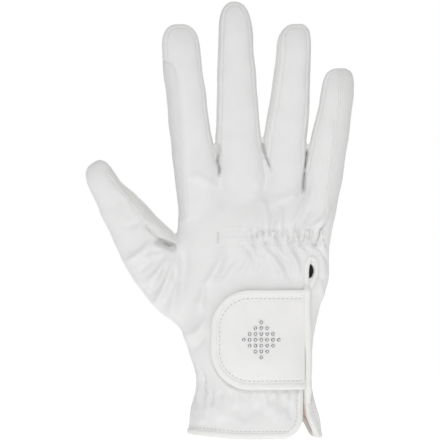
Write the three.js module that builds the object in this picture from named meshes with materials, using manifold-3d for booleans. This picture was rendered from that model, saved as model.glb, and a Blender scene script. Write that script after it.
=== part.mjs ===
// A riding glove for the right hand, kept as worn: upright, with the fingers up.
// Millimetres. +X is to the little finger, +Y to the palm side, +Z to the fingertips.
// The origin is the middle of the cuff's opening, where the hand goes in.

import * as THREE from "three";
import { mergeVertices } from "three/addons/utils/BufferGeometryUtils.js";
import Module from "manifold-3d";

const wasm = await Module();
wasm.setup();

// Driving dimensions of the hand tube, from the hem to the roots of the fingers.
const bodyLength = 134;
const cuffWidth = 71;
const cuffDepth = 46;
const wristWidth = 61.5;
const wristDepth = 40;
const palmWidth = 82;
const palmDepth = 28;
const wall = 1.8;
const seamGap = 0.3;

// Fingers bend to the palm side by this much over the span named after it.
const fingerCurl = 8;
const curlSpan = 114;

// Driving dimensions of the thumb.
const thumbLength = 104;
const thumbWidth = 20.6;
const thumbDepth = 19;
const thumbLean = 33.5;

// Driving dimensions of the fingers. A length runs from the finger's foot, inside the hand.
const indexLength = 110;
const indexWidth = 21.5;
const middleLength = 118;
const middleWidth = 21;
const ringLength = 110;
const ringWidth = 20.5;
const littleLength = 98;
const littleWidth = 18;
const fingerDepth = 18;

// Side strips between the fingers: their depth, and how far they stay from crotch and tip.
const stripDepth = 12.5;
const stripFoot = 8;
const stripTip = 6;
const stripInset = 0.2;

// Bindings, wrist slit, keyhole and closure tab.
const bindingLift = 0.9;
const bindingWidth = 2.9;
const keyholeWidth = 3.2;
const keyholeHeight = 8.6;
const slitWidth = 1.2;
const slitMouth = 7.5;
const mouthRise = 10;
const hemHeight = 3.4;
const hemLip = 0.7;
const tabHeight = 53;
const tabReach = 50;
const tabThickness = 1.6;
const tabCorner = 21;
const tabEdge = 3.7;
const tabEdgeLift = 0.35;

// Round stones on the tab.
const stoneDiameter = 2.1;
const stoneHeight = 0.8;
const stonePitch = 3.1;
const stoneTable = 0.56;
const stoneSeat = 0.2;
const lozengeReach = 3;
const lozengePlace = 0.54;
const stoneFacets = 8;

// Relief of the back: puckers over the knuckles, gathers at the wrist and folds.
const puckerPitch = 6.3;
const puckerHeight = 0.85;
const gatherPitch = 5.6;
const gatherHeight = 0.7;
const foldHeight = 0.8;

// Bluntness of the sections: 2 is an ellipse and more is squarer.
const handBluntness = 2.4;
const fingerBluntness = 2.3;

// How far a cutting solid reaches past what it cuts, and the least space between two rings.
const overcut = 1;
const ringSpace = 0.5;

// Share of the body's length at which the hand tube ends inside the fingers.
const bodyTopShare = 0.975;

// Facets around the fingers and the thumb, and of their linings.
const fingerFacets = 12;
const liningFacets = 8;
const thumbFacets = 14;

// Rings of the hand tube. heights are shares of the body's length, back and palm count the facets
// of each side, crowd draws a ring's points to the sides of the hand, and within the share sparse
// of the back each second point is left out.
const skinHeights = [
  0.06, 0.12, 0.165, 0.21, 0.255, 0.31, 0.375, 0.44, 0.51, 0.59, 0.67, 0.727,
  0.757, 0.777, 0.797, 0.817, 0.837, 0.88, 0.93,
];
const skinRings = { heights: skinHeights, back: 42, palm: 10, crowd: 0.12, sparse: 0, rippled: true };
const trimRings = { heights: skinHeights, back: 42, palm: 10, crowd: 0.12, sparse: 0.78, rippled: false };
const liningHeights = [0.12, 0.184, 0.31, 0.44, 0.63, 0.82, 0.93];
const liningRings = { heights: liningHeights, back: 12, palm: 8, crowd: 0.5, sparse: 0, rippled: false };

// Sections of the hand tube. up is a share of the body's length, left and right are shares of
// the size across, and back and palm are shares of the size deep.
const handRows = [
  { up: 0.0, across: cuffWidth, left: -0.5, right: 0.5, deep: cuffDepth, back: 0.5, palm: 0.5 },
  { up: 0.06, across: cuffWidth, left: -0.493, right: 0.5, deep: cuffDepth, back: 0.49, palm: 0.49 },
  { up: 0.12, across: cuffWidth, left: -0.48, right: 0.47, deep: cuffDepth, back: 0.465, palm: 0.465 },
  { up: 0.184, across: wristWidth, left: -0.52, right: 0.509, deep: wristDepth, back: 0.51, palm: 0.51 },
  { up: 0.246, across: wristWidth, left: -0.509, right: 0.491, deep: wristDepth, back: 0.5, palm: 0.5 },
  { up: 0.311, across: wristWidth, left: -0.543, right: 0.491, deep: wristDepth, back: 0.49, palm: 0.5 },
  { up: 0.375, across: wristWidth, left: -0.59, right: 0.509, deep: wristDepth, back: 0.46, palm: 0.49 },
  { up: 0.44, across: palmWidth, left: -0.472, right: 0.395, deep: palmDepth, back: 0.62, palm: 0.66 },
  { up: 0.537, across: palmWidth, left: -0.492, right: 0.434, deep: palmDepth, back: 0.57, palm: 0.6 },
  { up: 0.63, across: palmWidth, left: -0.505, right: 0.483, deep: palmDepth, back: 0.53, palm: 0.55 },
  { up: 0.727, across: palmWidth, left: -0.508, right: 0.487, deep: palmDepth, back: 0.51, palm: 0.52 },
  { up: 0.82, across: palmWidth, left: -0.506, right: 0.493, deep: palmDepth, back: 0.49, palm: 0.49 },
  { up: 0.888, across: palmWidth, left: -0.5, right: 0.515, deep: palmDepth, back: 0.435, palm: 0.435 },
  { up: 0.93, across: palmWidth, left: -0.49, right: 0.53, deep: palmDepth, back: 0.38, palm: 0.38 },
  { up: 0.955, across: palmWidth, left: -0.47, right: 0.52, deep: palmDepth, back: 0.32, palm: 0.32 },
  { up: 0.975, across: palmWidth, left: -0.43, right: 0.49, deep: palmDepth, back: 0.22, palm: 0.22 },
];

// Fingers. root and tip are shares of the palm's width, rise is a share of the body's length.
// In a row, along is a share of the finger's length, side and wide are shares of its width,
// and deep is a share of its depth.
const fingers = [
  {
    name: "index", root: -0.349, tip: -0.479, rise: 0.836, length: indexLength, width: indexWidth,
    rows: [
      { along: 0, side: 0, wide: 1, deep: 1.1 },
      { along: 0.217, side: 0.03, wide: 1.14, deep: 1.12 },
      { along: 0.412, side: -0.02, wide: 1.045, deep: 1.06 },
      { along: 0.53, side: -0.05, wide: 1.02, deep: 1.03 },
      { along: 0.76, side: -0.07, wide: 0.99, deep: 0.97 },
      { along: 0.84, side: -0.07, wide: 0.97, deep: 0.9 },
      { along: 0.918, side: -0.055, wide: 0.87, deep: 0.78 },
      { along: 0.975, side: -0.05, wide: 0.58, deep: 0.52 },
      { along: 1, side: 0, wide: 0.16, deep: 0.16 },
    ],
  },
  {
    name: "middle", root: -0.082, tip: -0.13, rise: 0.866, length: middleLength, width: middleWidth,
    rows: [
      { along: 0, side: 0, wide: 1.07, deep: 1.12 },
      { along: 0.205, side: 0.05, wide: 1.23, deep: 1.16 },
      { along: 0.35, side: -0.02, wide: 1.18, deep: 1.1 },
      { along: 0.53, side: -0.015, wide: 1.05, deep: 1.04 },
      { along: 0.75, side: -0.01, wide: 0.93, deep: 0.96 },
      { along: 0.858, side: 0, wide: 0.86, deep: 0.86 },
      { along: 0.93, side: 0, wide: 0.77, deep: 0.72 },
      { along: 0.982, side: 0.01, wide: 0.55, deep: 0.46 },
      { along: 1, side: 0, wide: 0.2, deep: 0.16 },
    ],
  },
  {
    name: "ring", root: 0.179, tip: 0.28, rise: 0.836, length: ringLength, width: ringWidth,
    rows: [
      { along: 0, side: 0, wide: 1.05, deep: 1.08 },
      { along: 0.256, side: -0.02, wide: 1.08, deep: 1.1 },
      { along: 0.42, side: -0.1, wide: 1.14, deep: 1.06 },
      { along: 0.606, side: -0.05, wide: 1.06, deep: 1.02 },
      { along: 0.723, side: -0.045, wide: 0.98, deep: 0.97 },
      { along: 0.84, side: -0.04, wide: 0.92, deep: 0.88 },
      { along: 0.918, side: -0.05, wide: 0.84, deep: 0.76 },
      { along: 0.978, side: -0.01, wide: 0.63, deep: 0.5 },
      { along: 1, side: 0, wide: 0.28, deep: 0.18 },
    ],
  },
  {
    name: "little", root: 0.368, tip: 0.551, rise: 0.746, length: littleLength, width: littleWidth,
    rows: [
      { along: 0, side: 0, wide: 1.04, deep: 1.06 },
      { along: 0.235, side: 0, wide: 1.16, deep: 1.06 },
      { along: 0.454, side: 0.03, wide: 1.16, deep: 0.98 },
      { along: 0.629, side: 0.04, wide: 1.12, deep: 0.92 },
      { along: 0.715, side: 0.06, wide: 1.07, deep: 0.89 },
      { along: 0.803, side: 0.07, wide: 1.01, deep: 0.85 },
      { along: 0.89, side: 0.06, wide: 0.94, deep: 0.76 },
      { along: 0.978, side: 0.02, wide: 0.68, deep: 0.46 },
      { along: 1, side: 0, wide: 0.34, deep: 0.2 },
    ],
  },
];

// Thumb. It starts inside the heel of the hand. shift is how far it lies to the palm side.
const thumb = {
  root: -0.315,
  rise: 0.452,
  rows: [
    { along: 0, side: 0.06, wide: 1.1, deep: 0.9, shift: 0 },
    { along: 0.205, side: -0.01, wide: 1.56, deep: 1.44, shift: 0.2 },
    { along: 0.396, side: -0.07, wide: 1.55, deep: 1.36, shift: 0.26 },
    { along: 0.566, side: -0.15, wide: 1.32, deep: 1.2, shift: 0.32 },
    { along: 0.66, side: -0.13, wide: 1.14, deep: 1.1, shift: 0.36 },
    { along: 0.744, side: -0.11, wide: 1.01, deep: 1.02, shift: 0.38 },
    { along: 0.83, side: -0.12, wide: 0.94, deep: 0.95, shift: 0.4 },
    { along: 0.9, side: -0.13, wide: 0.84, deep: 0.84, shift: 0.41 },
    { along: 0.955, side: -0.09, wide: 0.64, deep: 0.64, shift: 0.42 },
    { along: 0.985, side: -0.05, wide: 0.42, deep: 0.42, shift: 0.42 },
    { along: 1, side: 0, wide: 0.18, deep: 0.18, shift: 0.42 },
  ],
};

// Side strips between the fingers. crotch is the height of the crotch, a share of the body's length.
const fourchettes = [
  { name: "fourchette_index_middle", between: ["index", "middle"], crotch: 1.045 },
  { name: "fourchette_middle_ring", between: ["middle", "ring"], crotch: 1.078 },
  { name: "fourchette_ring_little", between: ["ring", "little"], crotch: 0.978 },
];

// Folds of the back. x is a share of the palm's width and z of the body's length, from one end
// to the other; spread is the fold's half width as a share of a pucker, high a share of a fold.
const folds = [
  { x0: 0.068, z0: 0.99, x1: 0.062, z1: 0.85, spread: 0.4, high: 0.9 },
  { x0: 0.166, z0: 0.96, x1: 0.16, z1: 0.85, spread: 0.35, high: 0.8 },
  { x0: 0.251, z0: 0.95, x1: 0.245, z1: 0.85, spread: 0.35, high: 0.8 },
  { x0: 0.369, z0: 0.9, x1: 0.284, z1: 0.81, spread: 0.35, high: 0.9 },
  { x0: 0.46, z0: 0.9, x1: 0.336, z1: 0.79, spread: 0.35, high: 0.9 },
  { x0: 0.023, z0: 0.775, x1: 0.088, z1: 0.59, spread: 0.45, high: 1 },
  { x0: 0.101, z0: 0.767, x1: 0.212, z1: 0.61, spread: 0.45, high: 1 },
  { x0: 0.186, z0: 0.767, x1: 0.303, z1: 0.647, spread: 0.4, high: 0.9 },
  { x0: -0.095, z0: 0.76, x1: -0.12, z1: 0.61, spread: 0.45, high: 0.8 },
  { x0: -0.173, z0: 0.767, x1: -0.316, z1: 0.551, spread: 0.5, high: 1 },
  { x0: -0.238, z0: 0.79, x1: -0.368, z1: 0.59, spread: 0.5, high: 0.9 },
  { x0: -0.407, z0: 1.0, x1: -0.42, z1: 0.71, spread: 0.6, high: 0.9 },
  { x0: -0.42, z0: 0.7, x1: -0.355, z1: 0.371, spread: 0.6, high: 1.1 },
];

// Seam of the ulnar side panel on the back, from the little finger's tip to the keyhole.
const ulnarSeam = [
  { x: 0.545, z: 1.5 },
  { x: 0.525, z: 1.31 },
  { x: 0.48, z: 1.11 },
  { x: 0.447, z: 0.89 },
  { x: 0.415, z: 0.79 },
  { x: 0.37, z: 0.72 },
];

// Seam of the index side panel on the back, from its rounded top to its foot above the thumb.
const indexSeam = [
  { x: -0.66, z: 1.517 },
  { x: -0.555, z: 1.505 },
  { x: -0.507, z: 1.47 },
  { x: -0.483, z: 1.38 },
  { x: -0.462, z: 1.18 },
  { x: -0.447, z: 1.0 },
  { x: -0.44, z: 0.9 },
  { x: -0.47, z: 0.868 },
  { x: -0.66, z: 0.85 },
];

const leather = new THREE.MeshStandardMaterial({ color: 0xe9e9e8, roughness: 0.62, metalness: 0 });
const knit = new THREE.MeshStandardMaterial({ color: 0xe2e2e0, roughness: 0.85, metalness: 0 });
const smooth = new THREE.MeshStandardMaterial({ color: 0xecebe8, roughness: 0.5, metalness: 0 });
const crystal = new THREE.MeshStandardMaterial({ color: 0xc9ccd2, roughness: 0.08, metalness: 0.6 });

const half = 0.5;
const degree = Math.PI / 180;
const farAway = 400;

// Solid of a closed geometry whose shared points are merged.
function solidOf(geometry) {
  geometry.deleteAttribute("normal");
  geometry.deleteAttribute("uv");
  const merged = mergeVertices(geometry, 1e-4);
  return new wasm.Manifold(new wasm.Mesh({
    numProp: 3,
    vertProperties: new Float32Array(merged.attributes.position.array),
    triVerts: new Uint32Array(merged.index.array),
  }));
}

// Geometry of a solid, for a mesh of the scene.
function geometryOf(solid) {
  const mesh = solid.getMesh();
  const geometry = new THREE.BufferGeometry();
  geometry.setAttribute("position", new THREE.BufferAttribute(new Float32Array(mesh.vertProperties), 3));
  geometry.setIndex(new THREE.BufferAttribute(new Uint32Array(mesh.triVerts), 1));
  geometry.computeVertexNormals();
  return geometry;
}

function joined(solids) {
  return solids.reduce((whole, one) => whole.add(one));
}

function clamp(value, low, high) {
  return Math.min(Math.max(value, low), high);
}

function easeBetween(low, high, value) {
  const share = clamp((value - low) / (high - low), 0, 1);
  return share * share * (3 - 2 * share);
}

// Smooth value between the rows of a table, read at a place on its key column.
function readRows(rows, key, at, valueOf) {
  let next = 1;
  while (next < rows.length - 1 && rows[next][key] < at) {
    next += 1;
  }
  const before = rows[Math.max(next - 2, 0)];
  const from = rows[next - 1];
  const to = rows[next];
  const after = rows[Math.min(next + 1, rows.length - 1)];
  const span = to[key] - from[key];
  const share = clamp((at - from[key]) / span, 0, 1);
  const slopeFrom = span * (valueOf(to) - valueOf(before)) / (to[key] - before[key]);
  const slopeTo = span * (valueOf(after) - valueOf(from)) / (after[key] - from[key]);
  const square = share * share;
  const cube = square * share;
  return valueOf(from) * (2 * cube - 3 * square + 1) + slopeFrom * (cube - 2 * square + share)
    + valueOf(to) * (3 * square - 2 * cube) + slopeTo * (cube - square);
}

// How far the middle of the glove lies to the palm side at a height.
function curlAt(z) {
  const share = Math.max(0, (z - bodyLength) / curlSpan + 0.12);
  return fingerCurl * share * share;
}

// Closed solid through rings of points, each ring in the same turning sense.
function loft(rings) {
  const sides = rings[0].length;
  const positions = [];
  const indices = [];
  for (const ring of rings) {
    for (const point of ring) {
      positions.push(point.x, point.y, point.z);
    }
  }
  for (let row = 0; row < rings.length - 1; row += 1) {
    for (let side = 0; side < sides; side += 1) {
      const here = row * sides + side;
      const beside = row * sides + (side + 1) % sides;
      indices.push(here, beside, beside + sides, here, beside + sides, here + sides);
    }
  }
  const ends = [rings[0], rings[rings.length - 1]];
  ends.forEach((ring, end) => {
    const middle = new THREE.Vector3();
    ring.forEach((point) => middle.add(point));
    middle.divideScalar(sides);
    const centre = positions.length / 3;
    positions.push(middle.x, middle.y, middle.z);
    const first = end * (rings.length - 1) * sides;
    for (let side = 0; side < sides; side += 1) {
      const here = first + side;
      const beside = first + (side + 1) % sides;
      if (end === 0) {
        indices.push(centre, beside, here);
      } else {
        indices.push(centre, here, beside);
      }
    }
  });
  const geometry = new THREE.BufferGeometry();
  geometry.setAttribute("position", new THREE.Float32BufferAttribute(positions, 3));
  geometry.setIndex(indices);
  return solidOf(geometry);
}

// Depth of a blunt section at a share of its half width.
function bluntDepth(share, bluntness) {
  return Math.pow(Math.max(0, 1 - Math.pow(Math.abs(share), bluntness)), 1 / bluntness);
}

// Section of the hand tube at a height.
function handSection(z) {
  const up = z / bodyLength;
  const read = (valueOf) => readRows(handRows, "up", up, valueOf);
  return {
    left: read((row) => row.across * row.left),
    right: read((row) => row.across * row.right),
    back: read((row) => row.deep * row.back),
    palm: read((row) => row.deep * row.palm),
  };
}

// Named places on the back: the slit's line, the keyhole and the tab.
const keyholeZ = 0.668 * bodyLength;
const keyholeX = 0.366 * palmWidth;
const slitFootX = 0.358 * cuffWidth;
const tabBottom = 0.198 * bodyLength;
const tabTop = tabBottom + tabHeight;
const tabLow = bindingLift + 2 * seamGap;

function slitX(z) {
  const share = clamp(z / keyholeZ, 0, 1);
  return slitFootX + (keyholeX - slitFootX) * Math.pow(share, 1.3);
}

const tabLeft = slitX(tabBottom) - tabReach;

// Shares that place the relief. rise is a height on the body, left and right are ends across the
// palm with the places where the puckers are full, and row is the half of a pucker's height.
const puckers = { rise: 0.797, left: -0.25, leftFull: -0.2, right: 0.5, rightFull: 0.46, row: 0.42 };
const puckerRows = { narrow: 0.72, stagger: 1.5 };
const gathers = { rise: 0.205, reach: 0.085 };
const foldEnds = { foot: -0.08, footFull: 0.2, top: 1.08, topFull: 0.75 };

// How far the relief keeps from the tab in millimetres, and from slit, keyhole and hem in shares
// of the binding's width and the hem's height.
const calmMargin = 2.5;
const calm = { slitFrom: 3, slitTo: 1.4, keyholeFrom: 4, keyholeTo: 2.4, hem: 2.2 };

// Ripples and folds of the back at a place, in millimetres outwards.
function relief(x, z) {
  const row = (z - puckers.rise * bodyLength) / (puckerPitch * puckers.row);
  const puckerSide = easeBetween(puckers.left * palmWidth, puckers.leftFull * palmWidth, x)
    * easeBetween(puckers.right * palmWidth, puckers.rightFull * palmWidth, x);
  const puckerBand = Math.exp(-Math.pow(row * puckerRows.narrow, 4));
  const stagger = Math.sin(clamp(row, -puckerRows.stagger, puckerRows.stagger) * Math.PI * half);
  let high = puckerHeight * puckerSide * puckerBand * Math.cos(2 * Math.PI * x / puckerPitch) * stagger;
  const gatherRow = (z - gathers.rise * bodyLength) / (gathers.reach * bodyLength);
  const gatherBand = Math.exp(-Math.pow(gatherRow, 4));
  high += gatherHeight * gatherBand * Math.cos(2 * Math.PI * x / gatherPitch);
  for (const fold of folds) {
    const start = new THREE.Vector2(fold.x0 * palmWidth, fold.z0 * bodyLength);
    const along = new THREE.Vector2(fold.x1 * palmWidth, fold.z1 * bodyLength).sub(start);
    const place = new THREE.Vector2(x, z).sub(start);
    const length = along.length();
    const share = place.dot(along) / (length * length);
    const off = place.cross(along) / length;
    const ends = easeBetween(foldEnds.foot, foldEnds.footFull, share)
      * easeBetween(foldEnds.top, foldEnds.topFull, share);
    const spread = fold.spread * puckerPitch;
    high += foldHeight * fold.high * ends * Math.exp(-Math.pow(off / spread, 2));
  }
  const underTab = easeBetween(tabLeft - 2 * calmMargin, tabLeft - calmMargin * half, x)
    * easeBetween(tabBottom - 2 * calmMargin, tabBottom - calmMargin * half, z)
    * easeBetween(tabTop + 2 * calmMargin, tabTop + calmMargin * half, z);
  const left = slitX(z);
  const above = keyholeZ + calm.keyholeFrom * bindingWidth;
  const besideSlit = easeBetween(left - calm.slitFrom * bindingWidth, left - calm.slitTo * bindingWidth, x)
    * easeBetween(above, keyholeZ + calm.keyholeTo * bindingWidth, z);
  const nearHem = easeBetween(calm.hem * hemHeight, hemHeight, z);
  return high * (1 - underTab) * (1 - besideSlit) * (1 - nearHem);
}

// Ring of the hand tube at a height, grown outwards; rippled where it is the outside. The points
// of a fine ring lie evenly across the back, and those of the lining crowd to its sides.
function handRing(z, grow, kind) {
  const section = handSection(z);
  const middle = (section.left + section.right) * half;
  const halfWidth = (section.right - section.left) * half + grow;
  const ring = [];
  for (let step = 0; step < kind.back; step += 1) {
    const even = -1 + 2 * step / kind.back;
    if (step % 2 === 1 && Math.abs(even) < kind.sparse) {
      continue;
    }
    const share = even + kind.crowd * (even - even * even * even);
    const x = middle + halfWidth * share;
    const ripple = kind.rippled ? relief(x, z) * easeBetween(1, 0.9, Math.abs(share)) : 0;
    const y = -(section.back + grow + ripple) * bluntDepth(share, handBluntness);
    ring.push(new THREE.Vector3(x, y + curlAt(z), z));
  }
  for (let step = 0; step < kind.palm; step += 1) {
    const share = Math.cos(Math.PI * step / kind.palm);
    const y = (section.palm + grow) * bluntDepth(share, handBluntness);
    ring.push(new THREE.Vector3(middle + halfWidth * share, y + curlAt(z), z));
  }
  return ring;
}

function handTube(low, high, grow, kind) {
  const between = kind.heights.map((share) => share * bodyLength)
    .filter((z) => z > low + ringSpace && z < high - ringSpace);
  return loft([low, ...between, high].map((z) => handRing(z, grow, kind)));
}

// Sleeve round the hand tube from one lift off it to another, between two heights.
function handSleeve(low, high, liftFrom, liftTo) {
  return handTube(low, high, liftTo, trimRings)
    .subtract(handTube(low - overcut, high + overcut, liftFrom, trimRings));
}

// Half sizes of a tube's blunt section, pulled to the signs of a turn.
function bluntTurn(turn, halfWidth, halfDepth) {
  const reach = (share) => Math.sign(share) * Math.pow(Math.abs(share), 2 / fingerBluntness);
  return { across: halfWidth * reach(Math.cos(turn)), deep: halfDepth * reach(Math.sin(turn)) };
}

function fingerCentre(finger, along, side) {
  const straight = finger.root + (finger.tip - finger.root) * along;
  return straight * palmWidth + side * finger.width;
}

// Every second row of a tube's table. A lining is smoother than its skin, and it stops short of
// the last two rows, so that the tip keeps its wall.
function liningRows(rows) {
  const last = rows.length - 3;
  return rows.filter((row, place) => place === 0 || (place <= last && (last - place) % 2 === 0));
}

function fingerTube(finger, grow, facets) {
  const rows = grow < 0 ? liningRows(finger.rows) : finger.rows;
  return loft(rows.map((row) => {
    const z = finger.rise * bodyLength + row.along * finger.length;
    const x = fingerCentre(finger, row.along, row.side);
    const ring = [];
    for (let step = 0; step < facets; step += 1) {
      const halfWidth = finger.width * row.wide * half + grow;
      const halfDepth = fingerDepth * row.deep * half + grow;
      const point = bluntTurn(2 * Math.PI * step / facets, halfWidth, halfDepth);
      ring.push(new THREE.Vector3(x + point.across, point.deep + curlAt(z), z));
    }
    return ring;
  }));
}

// Directions of the thumb: along its length and across it.
const thumbAlong = new THREE.Vector3(-Math.sin(thumbLean * degree), 0, Math.cos(thumbLean * degree));
const thumbAcross = new THREE.Vector3(Math.cos(thumbLean * degree), 0, Math.sin(thumbLean * degree));
const thumbRoot = new THREE.Vector3(thumb.root * palmWidth, 0, thumb.rise * bodyLength);

function thumbTube(grow, facets) {
  const rows = grow < 0 ? liningRows(thumb.rows) : thumb.rows;
  return loft(rows.map((row) => {
    const middle = thumbRoot.clone().addScaledVector(thumbAlong, row.along * thumbLength);
    middle.addScaledVector(thumbAcross, row.side * thumbWidth);
    middle.y += row.shift * thumbDepth;
    const ring = [];
    for (let step = 0; step < facets; step += 1) {
      const halfWidth = thumbWidth * row.wide * half + grow;
      const halfDepth = thumbDepth * row.deep * half + grow;
      const point = bluntTurn(2 * Math.PI * step / facets, halfWidth, halfDepth);
      const place = middle.clone().addScaledVector(thumbAcross, point.across);
      place.y += point.deep;
      ring.push(place);
    }
    return ring;
  }));
}

// Prism over an outline of x and z, between two depths.
function frontPrism(points, nearY, farY) {
  const shape = new THREE.Shape(points.map((point) => new THREE.Vector2(point.x, point.z)));
  const geometry = new THREE.ExtrudeGeometry(shape, { depth: farY - nearY, bevelEnabled: false });
  const turned = new THREE.Matrix4().makeBasis(
    new THREE.Vector3(1, 0, 0), new THREE.Vector3(0, 0, 1), new THREE.Vector3(0, -1, 0),
  );
  geometry.applyMatrix4(turned);
  geometry.translate(0, farY, 0);
  return solidOf(geometry);
}

// Shares of the body's length at which the curled slab bends.
const curlStations = [0.88, 1.05, 1.25, 1.45, 1.62, 1.85];

// Slab that follows the curl of the fingers, between two depths beside it.
function curledSlab(near, far) {
  const heights = [-farAway, ...curlStations.map((share) => share * bodyLength), farAway];
  const curled = (z) => curlAt(Math.min(z, 2 * bodyLength));
  const outline = heights.map((z) => new THREE.Vector2(curled(z) + far, z));
  [...heights].reverse().forEach((z) => outline.push(new THREE.Vector2(curled(z) + near, z)));
  const shape = new THREE.Shape(outline);
  const geometry = new THREE.ExtrudeGeometry(shape, { depth: farAway, bevelEnabled: false });
  const turned = new THREE.Matrix4().makeBasis(
    new THREE.Vector3(0, 1, 0), new THREE.Vector3(0, 0, 1), new THREE.Vector3(1, 0, 0),
  );
  geometry.applyMatrix4(turned);
  geometry.translate(-farAway * half, 0, 0);
  return solidOf(geometry);
}

// Region of the side strip between two fingers. Its foot is a little below their crotch.
function stripRegion(strip, grow) {
  const [left, right] = strip.between.map((name) => fingers.find((finger) => finger.name === name));
  const foot = strip.crotch * bodyLength - stripFoot - grow;
  const spine = (finger, side) => {
    const reach = 1 - stripTip / finger.length;
    const foots = clamp((foot - finger.rise * bodyLength) / finger.length, 0, 1);
    const top = finger.rise * bodyLength + reach * finger.length + grow;
    const inset = side * (grow - stripInset * finger.width);
    return [
      { x: fingerCentre(finger, foots, 0) + inset, z: foot },
      { x: fingerCentre(finger, reach, 0) + inset, z: top },
    ];
  };
  const [leftFoot, leftTop] = spine(left, -1);
  const [rightFoot, rightTop] = spine(right, 1);
  const gapX = (leftTop.x + rightTop.x) * half;
  const between = [{ x: gapX, z: leftTop.z }, { x: gapX, z: rightTop.z }];
  const outline = [leftFoot, leftTop, ...between, rightTop, rightFoot].reverse();
  const depth = stripDepth * half + grow;
  return frontPrism(outline, -farAway, farAway).intersect(curledSlab(-depth, depth));
}

// Region on the outer side of a seam that is drawn on the back, as deep as a side strip goes.
function sideRegion(seam, outside, grow) {
  const outline = seam.map((point) => ({ x: point.x - outside * grow, z: point.z }));
  const first = outline[0];
  const last = outline[outline.length - 1];
  outline.push({ x: outside * farAway, z: last.z }, { x: outside * farAway, z: first.z });
  const turned = outside > 0 ? outline : outline.reverse();
  return frontPrism(turned, -farAway, farAway).intersect(curledSlab(-farAway, stripDepth * half + grow));
}

const scaled = (point) => ({ x: point.x * palmWidth, z: point.z * bodyLength });

// The ulnar panel's seam runs into the keyhole, and then down the wrist slit.
function ulnarRegion(grow) {
  const seam = ulnarSeam.map(scaled);
  seam.push({ x: keyholeX, z: keyholeZ });
  seam.push({ x: slitX(half * keyholeZ), z: half * keyholeZ });
  seam.push({ x: slitX(0), z: 0 }, { x: slitX(0), z: -farAway });
  return sideRegion(seam, 1, grow);
}

function indexRegion(grow) {
  const seam = indexSeam.map(scaled);
  const foot = seam[seam.length - 1];
  const top = seam[0];
  const region = sideRegion(seam, -1, 0);
  if (grow === 0) {
    return region;
  }
  const wider = seam.map((point) => ({ x: point.x + grow, z: point.z }));
  wider.forEach((point) => {
    point.z += Math.sign(point.z - (foot.z + top.z) * half) * grow;
  });
  return sideRegion(wider, -1, 0).add(region).intersect(curledSlab(-farAway, stripDepth * half + grow));
}

// Keyhole and wrist slit, seen from the front. The slit's mouth has round corners.
function slitCutter(grow) {
  const round = [];
  const facets = 12;
  for (let step = 0; step < facets; step += 1) {
    const turn = 2 * Math.PI * step / facets;
    const x = keyholeX + (keyholeWidth * half + grow) * Math.cos(turn);
    round.push({ x, z: keyholeZ + (keyholeHeight * half + grow) * Math.sin(turn) });
  }
  const heights = [-farAway, 0, 0.06, 0.2, 0.5, 1].map((share) => share * mouthRise);
  heights.push(0.55 * keyholeZ, keyholeZ);
  const right = heights.map((z) => {
    const fall = clamp(1 - z / mouthRise, 0, 1);
    const mouth = (slitMouth - slitWidth) * half * (1 - Math.sqrt(1 - fall * fall));
    return { x: slitX(z), z, halfWidth: slitWidth * half + mouth + grow };
  });
  const outline = right.map((point) => ({ x: point.x + point.halfWidth, z: point.z }));
  [...right].reverse().forEach((point) => outline.push({ x: point.x - point.halfWidth, z: point.z }));
  return frontPrism(outline, -farAway, 0).add(frontPrism(round, -farAway, 0));
}

// Outline of the tab, set in from its edge. Its right end follows the slit.
function tabOutline(inset) {
  const radius = tabCorner - inset;
  const low = tabBottom + inset;
  const high = tabTop - inset;
  const left = tabLeft + inset;
  const points = [];
  const arcSteps = 5;
  for (let step = 0; step <= arcSteps; step += 1) {
    const turn = Math.PI * half * (1 + step / arcSteps);
    points.push({ x: left + radius + radius * Math.cos(turn), z: high - radius + radius * Math.sin(turn) });
  }
  for (let step = 0; step <= arcSteps; step += 1) {
    const turn = Math.PI * half * (2 + step / arcSteps);
    points.push({ x: left + radius + radius * Math.cos(turn), z: low + radius + radius * Math.sin(turn) });
  }
  const rightSteps = 2;
  for (let step = 0; step <= rightSteps; step += 1) {
    const z = low + (high - low) * step / rightSteps;
    points.push({ x: slitX(z) + slitWidth * half - seamGap, z });
  }
  return points;
}

const group = new THREE.Group();

// Adds a solid to the group as a named mesh. Crumbs that a cut leaves at a seam's end are dropped.
function addPiece(name, solid, material) {
  const bodies = solid.decompose().sort((one, other) => other.volume() - one.volume());
  const mesh = new THREE.Mesh(geometryOf(bodies[0]), material);
  mesh.name = name;
  group.add(mesh);
}

// The skin of the hand and fingers, hollow and open at the cuff.
const skinFoot = hemLip + seamGap;
const bodyTop = bodyTopShare * bodyLength;
const fingerTubes = fingers.map((finger) => fingerTube(finger, 0, fingerFacets));
const handOutside = joined([handTube(skinFoot, bodyTop, 0, skinRings), ...fingerTubes]);
const inside = joined([
  handTube(-2 * wall, bodyTop - 2 * wall, -wall, liningRings),
  ...fingers.map((finger) => fingerTube(finger, -wall, liningFacets)),
  thumbTube(-wall, liningFacets),
]);
const skin = handOutside.subtract(inside).subtract(slitCutter(0));

// Panels of the hand, parted along their seams.
const strips = fourchettes.map((strip) => ({
  name: strip.name,
  tight: stripRegion(strip, 0),
  wide: stripRegion(strip, seamGap),
}));
const sideRegions = [ulnarRegion(seamGap), indexRegion(seamGap), ...strips.map((strip) => strip.wide)];
const rest = skin.subtract(joined(sideRegions));
const seamHalf = seamGap * half;
addPiece("back_panel", rest.intersect(curledSlab(-farAway, -seamHalf)), knit);
addPiece("palm_panel", rest.intersect(curledSlab(seamHalf, farAway)), leather);
addPiece("index_side_panel", skin.intersect(indexRegion(0)), leather);
addPiece("ulnar_side_panel", skin.intersect(ulnarRegion(0)), knit);
for (const strip of strips) {
  addPiece(strip.name, skin.intersect(strip.tight), knit);
}

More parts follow.
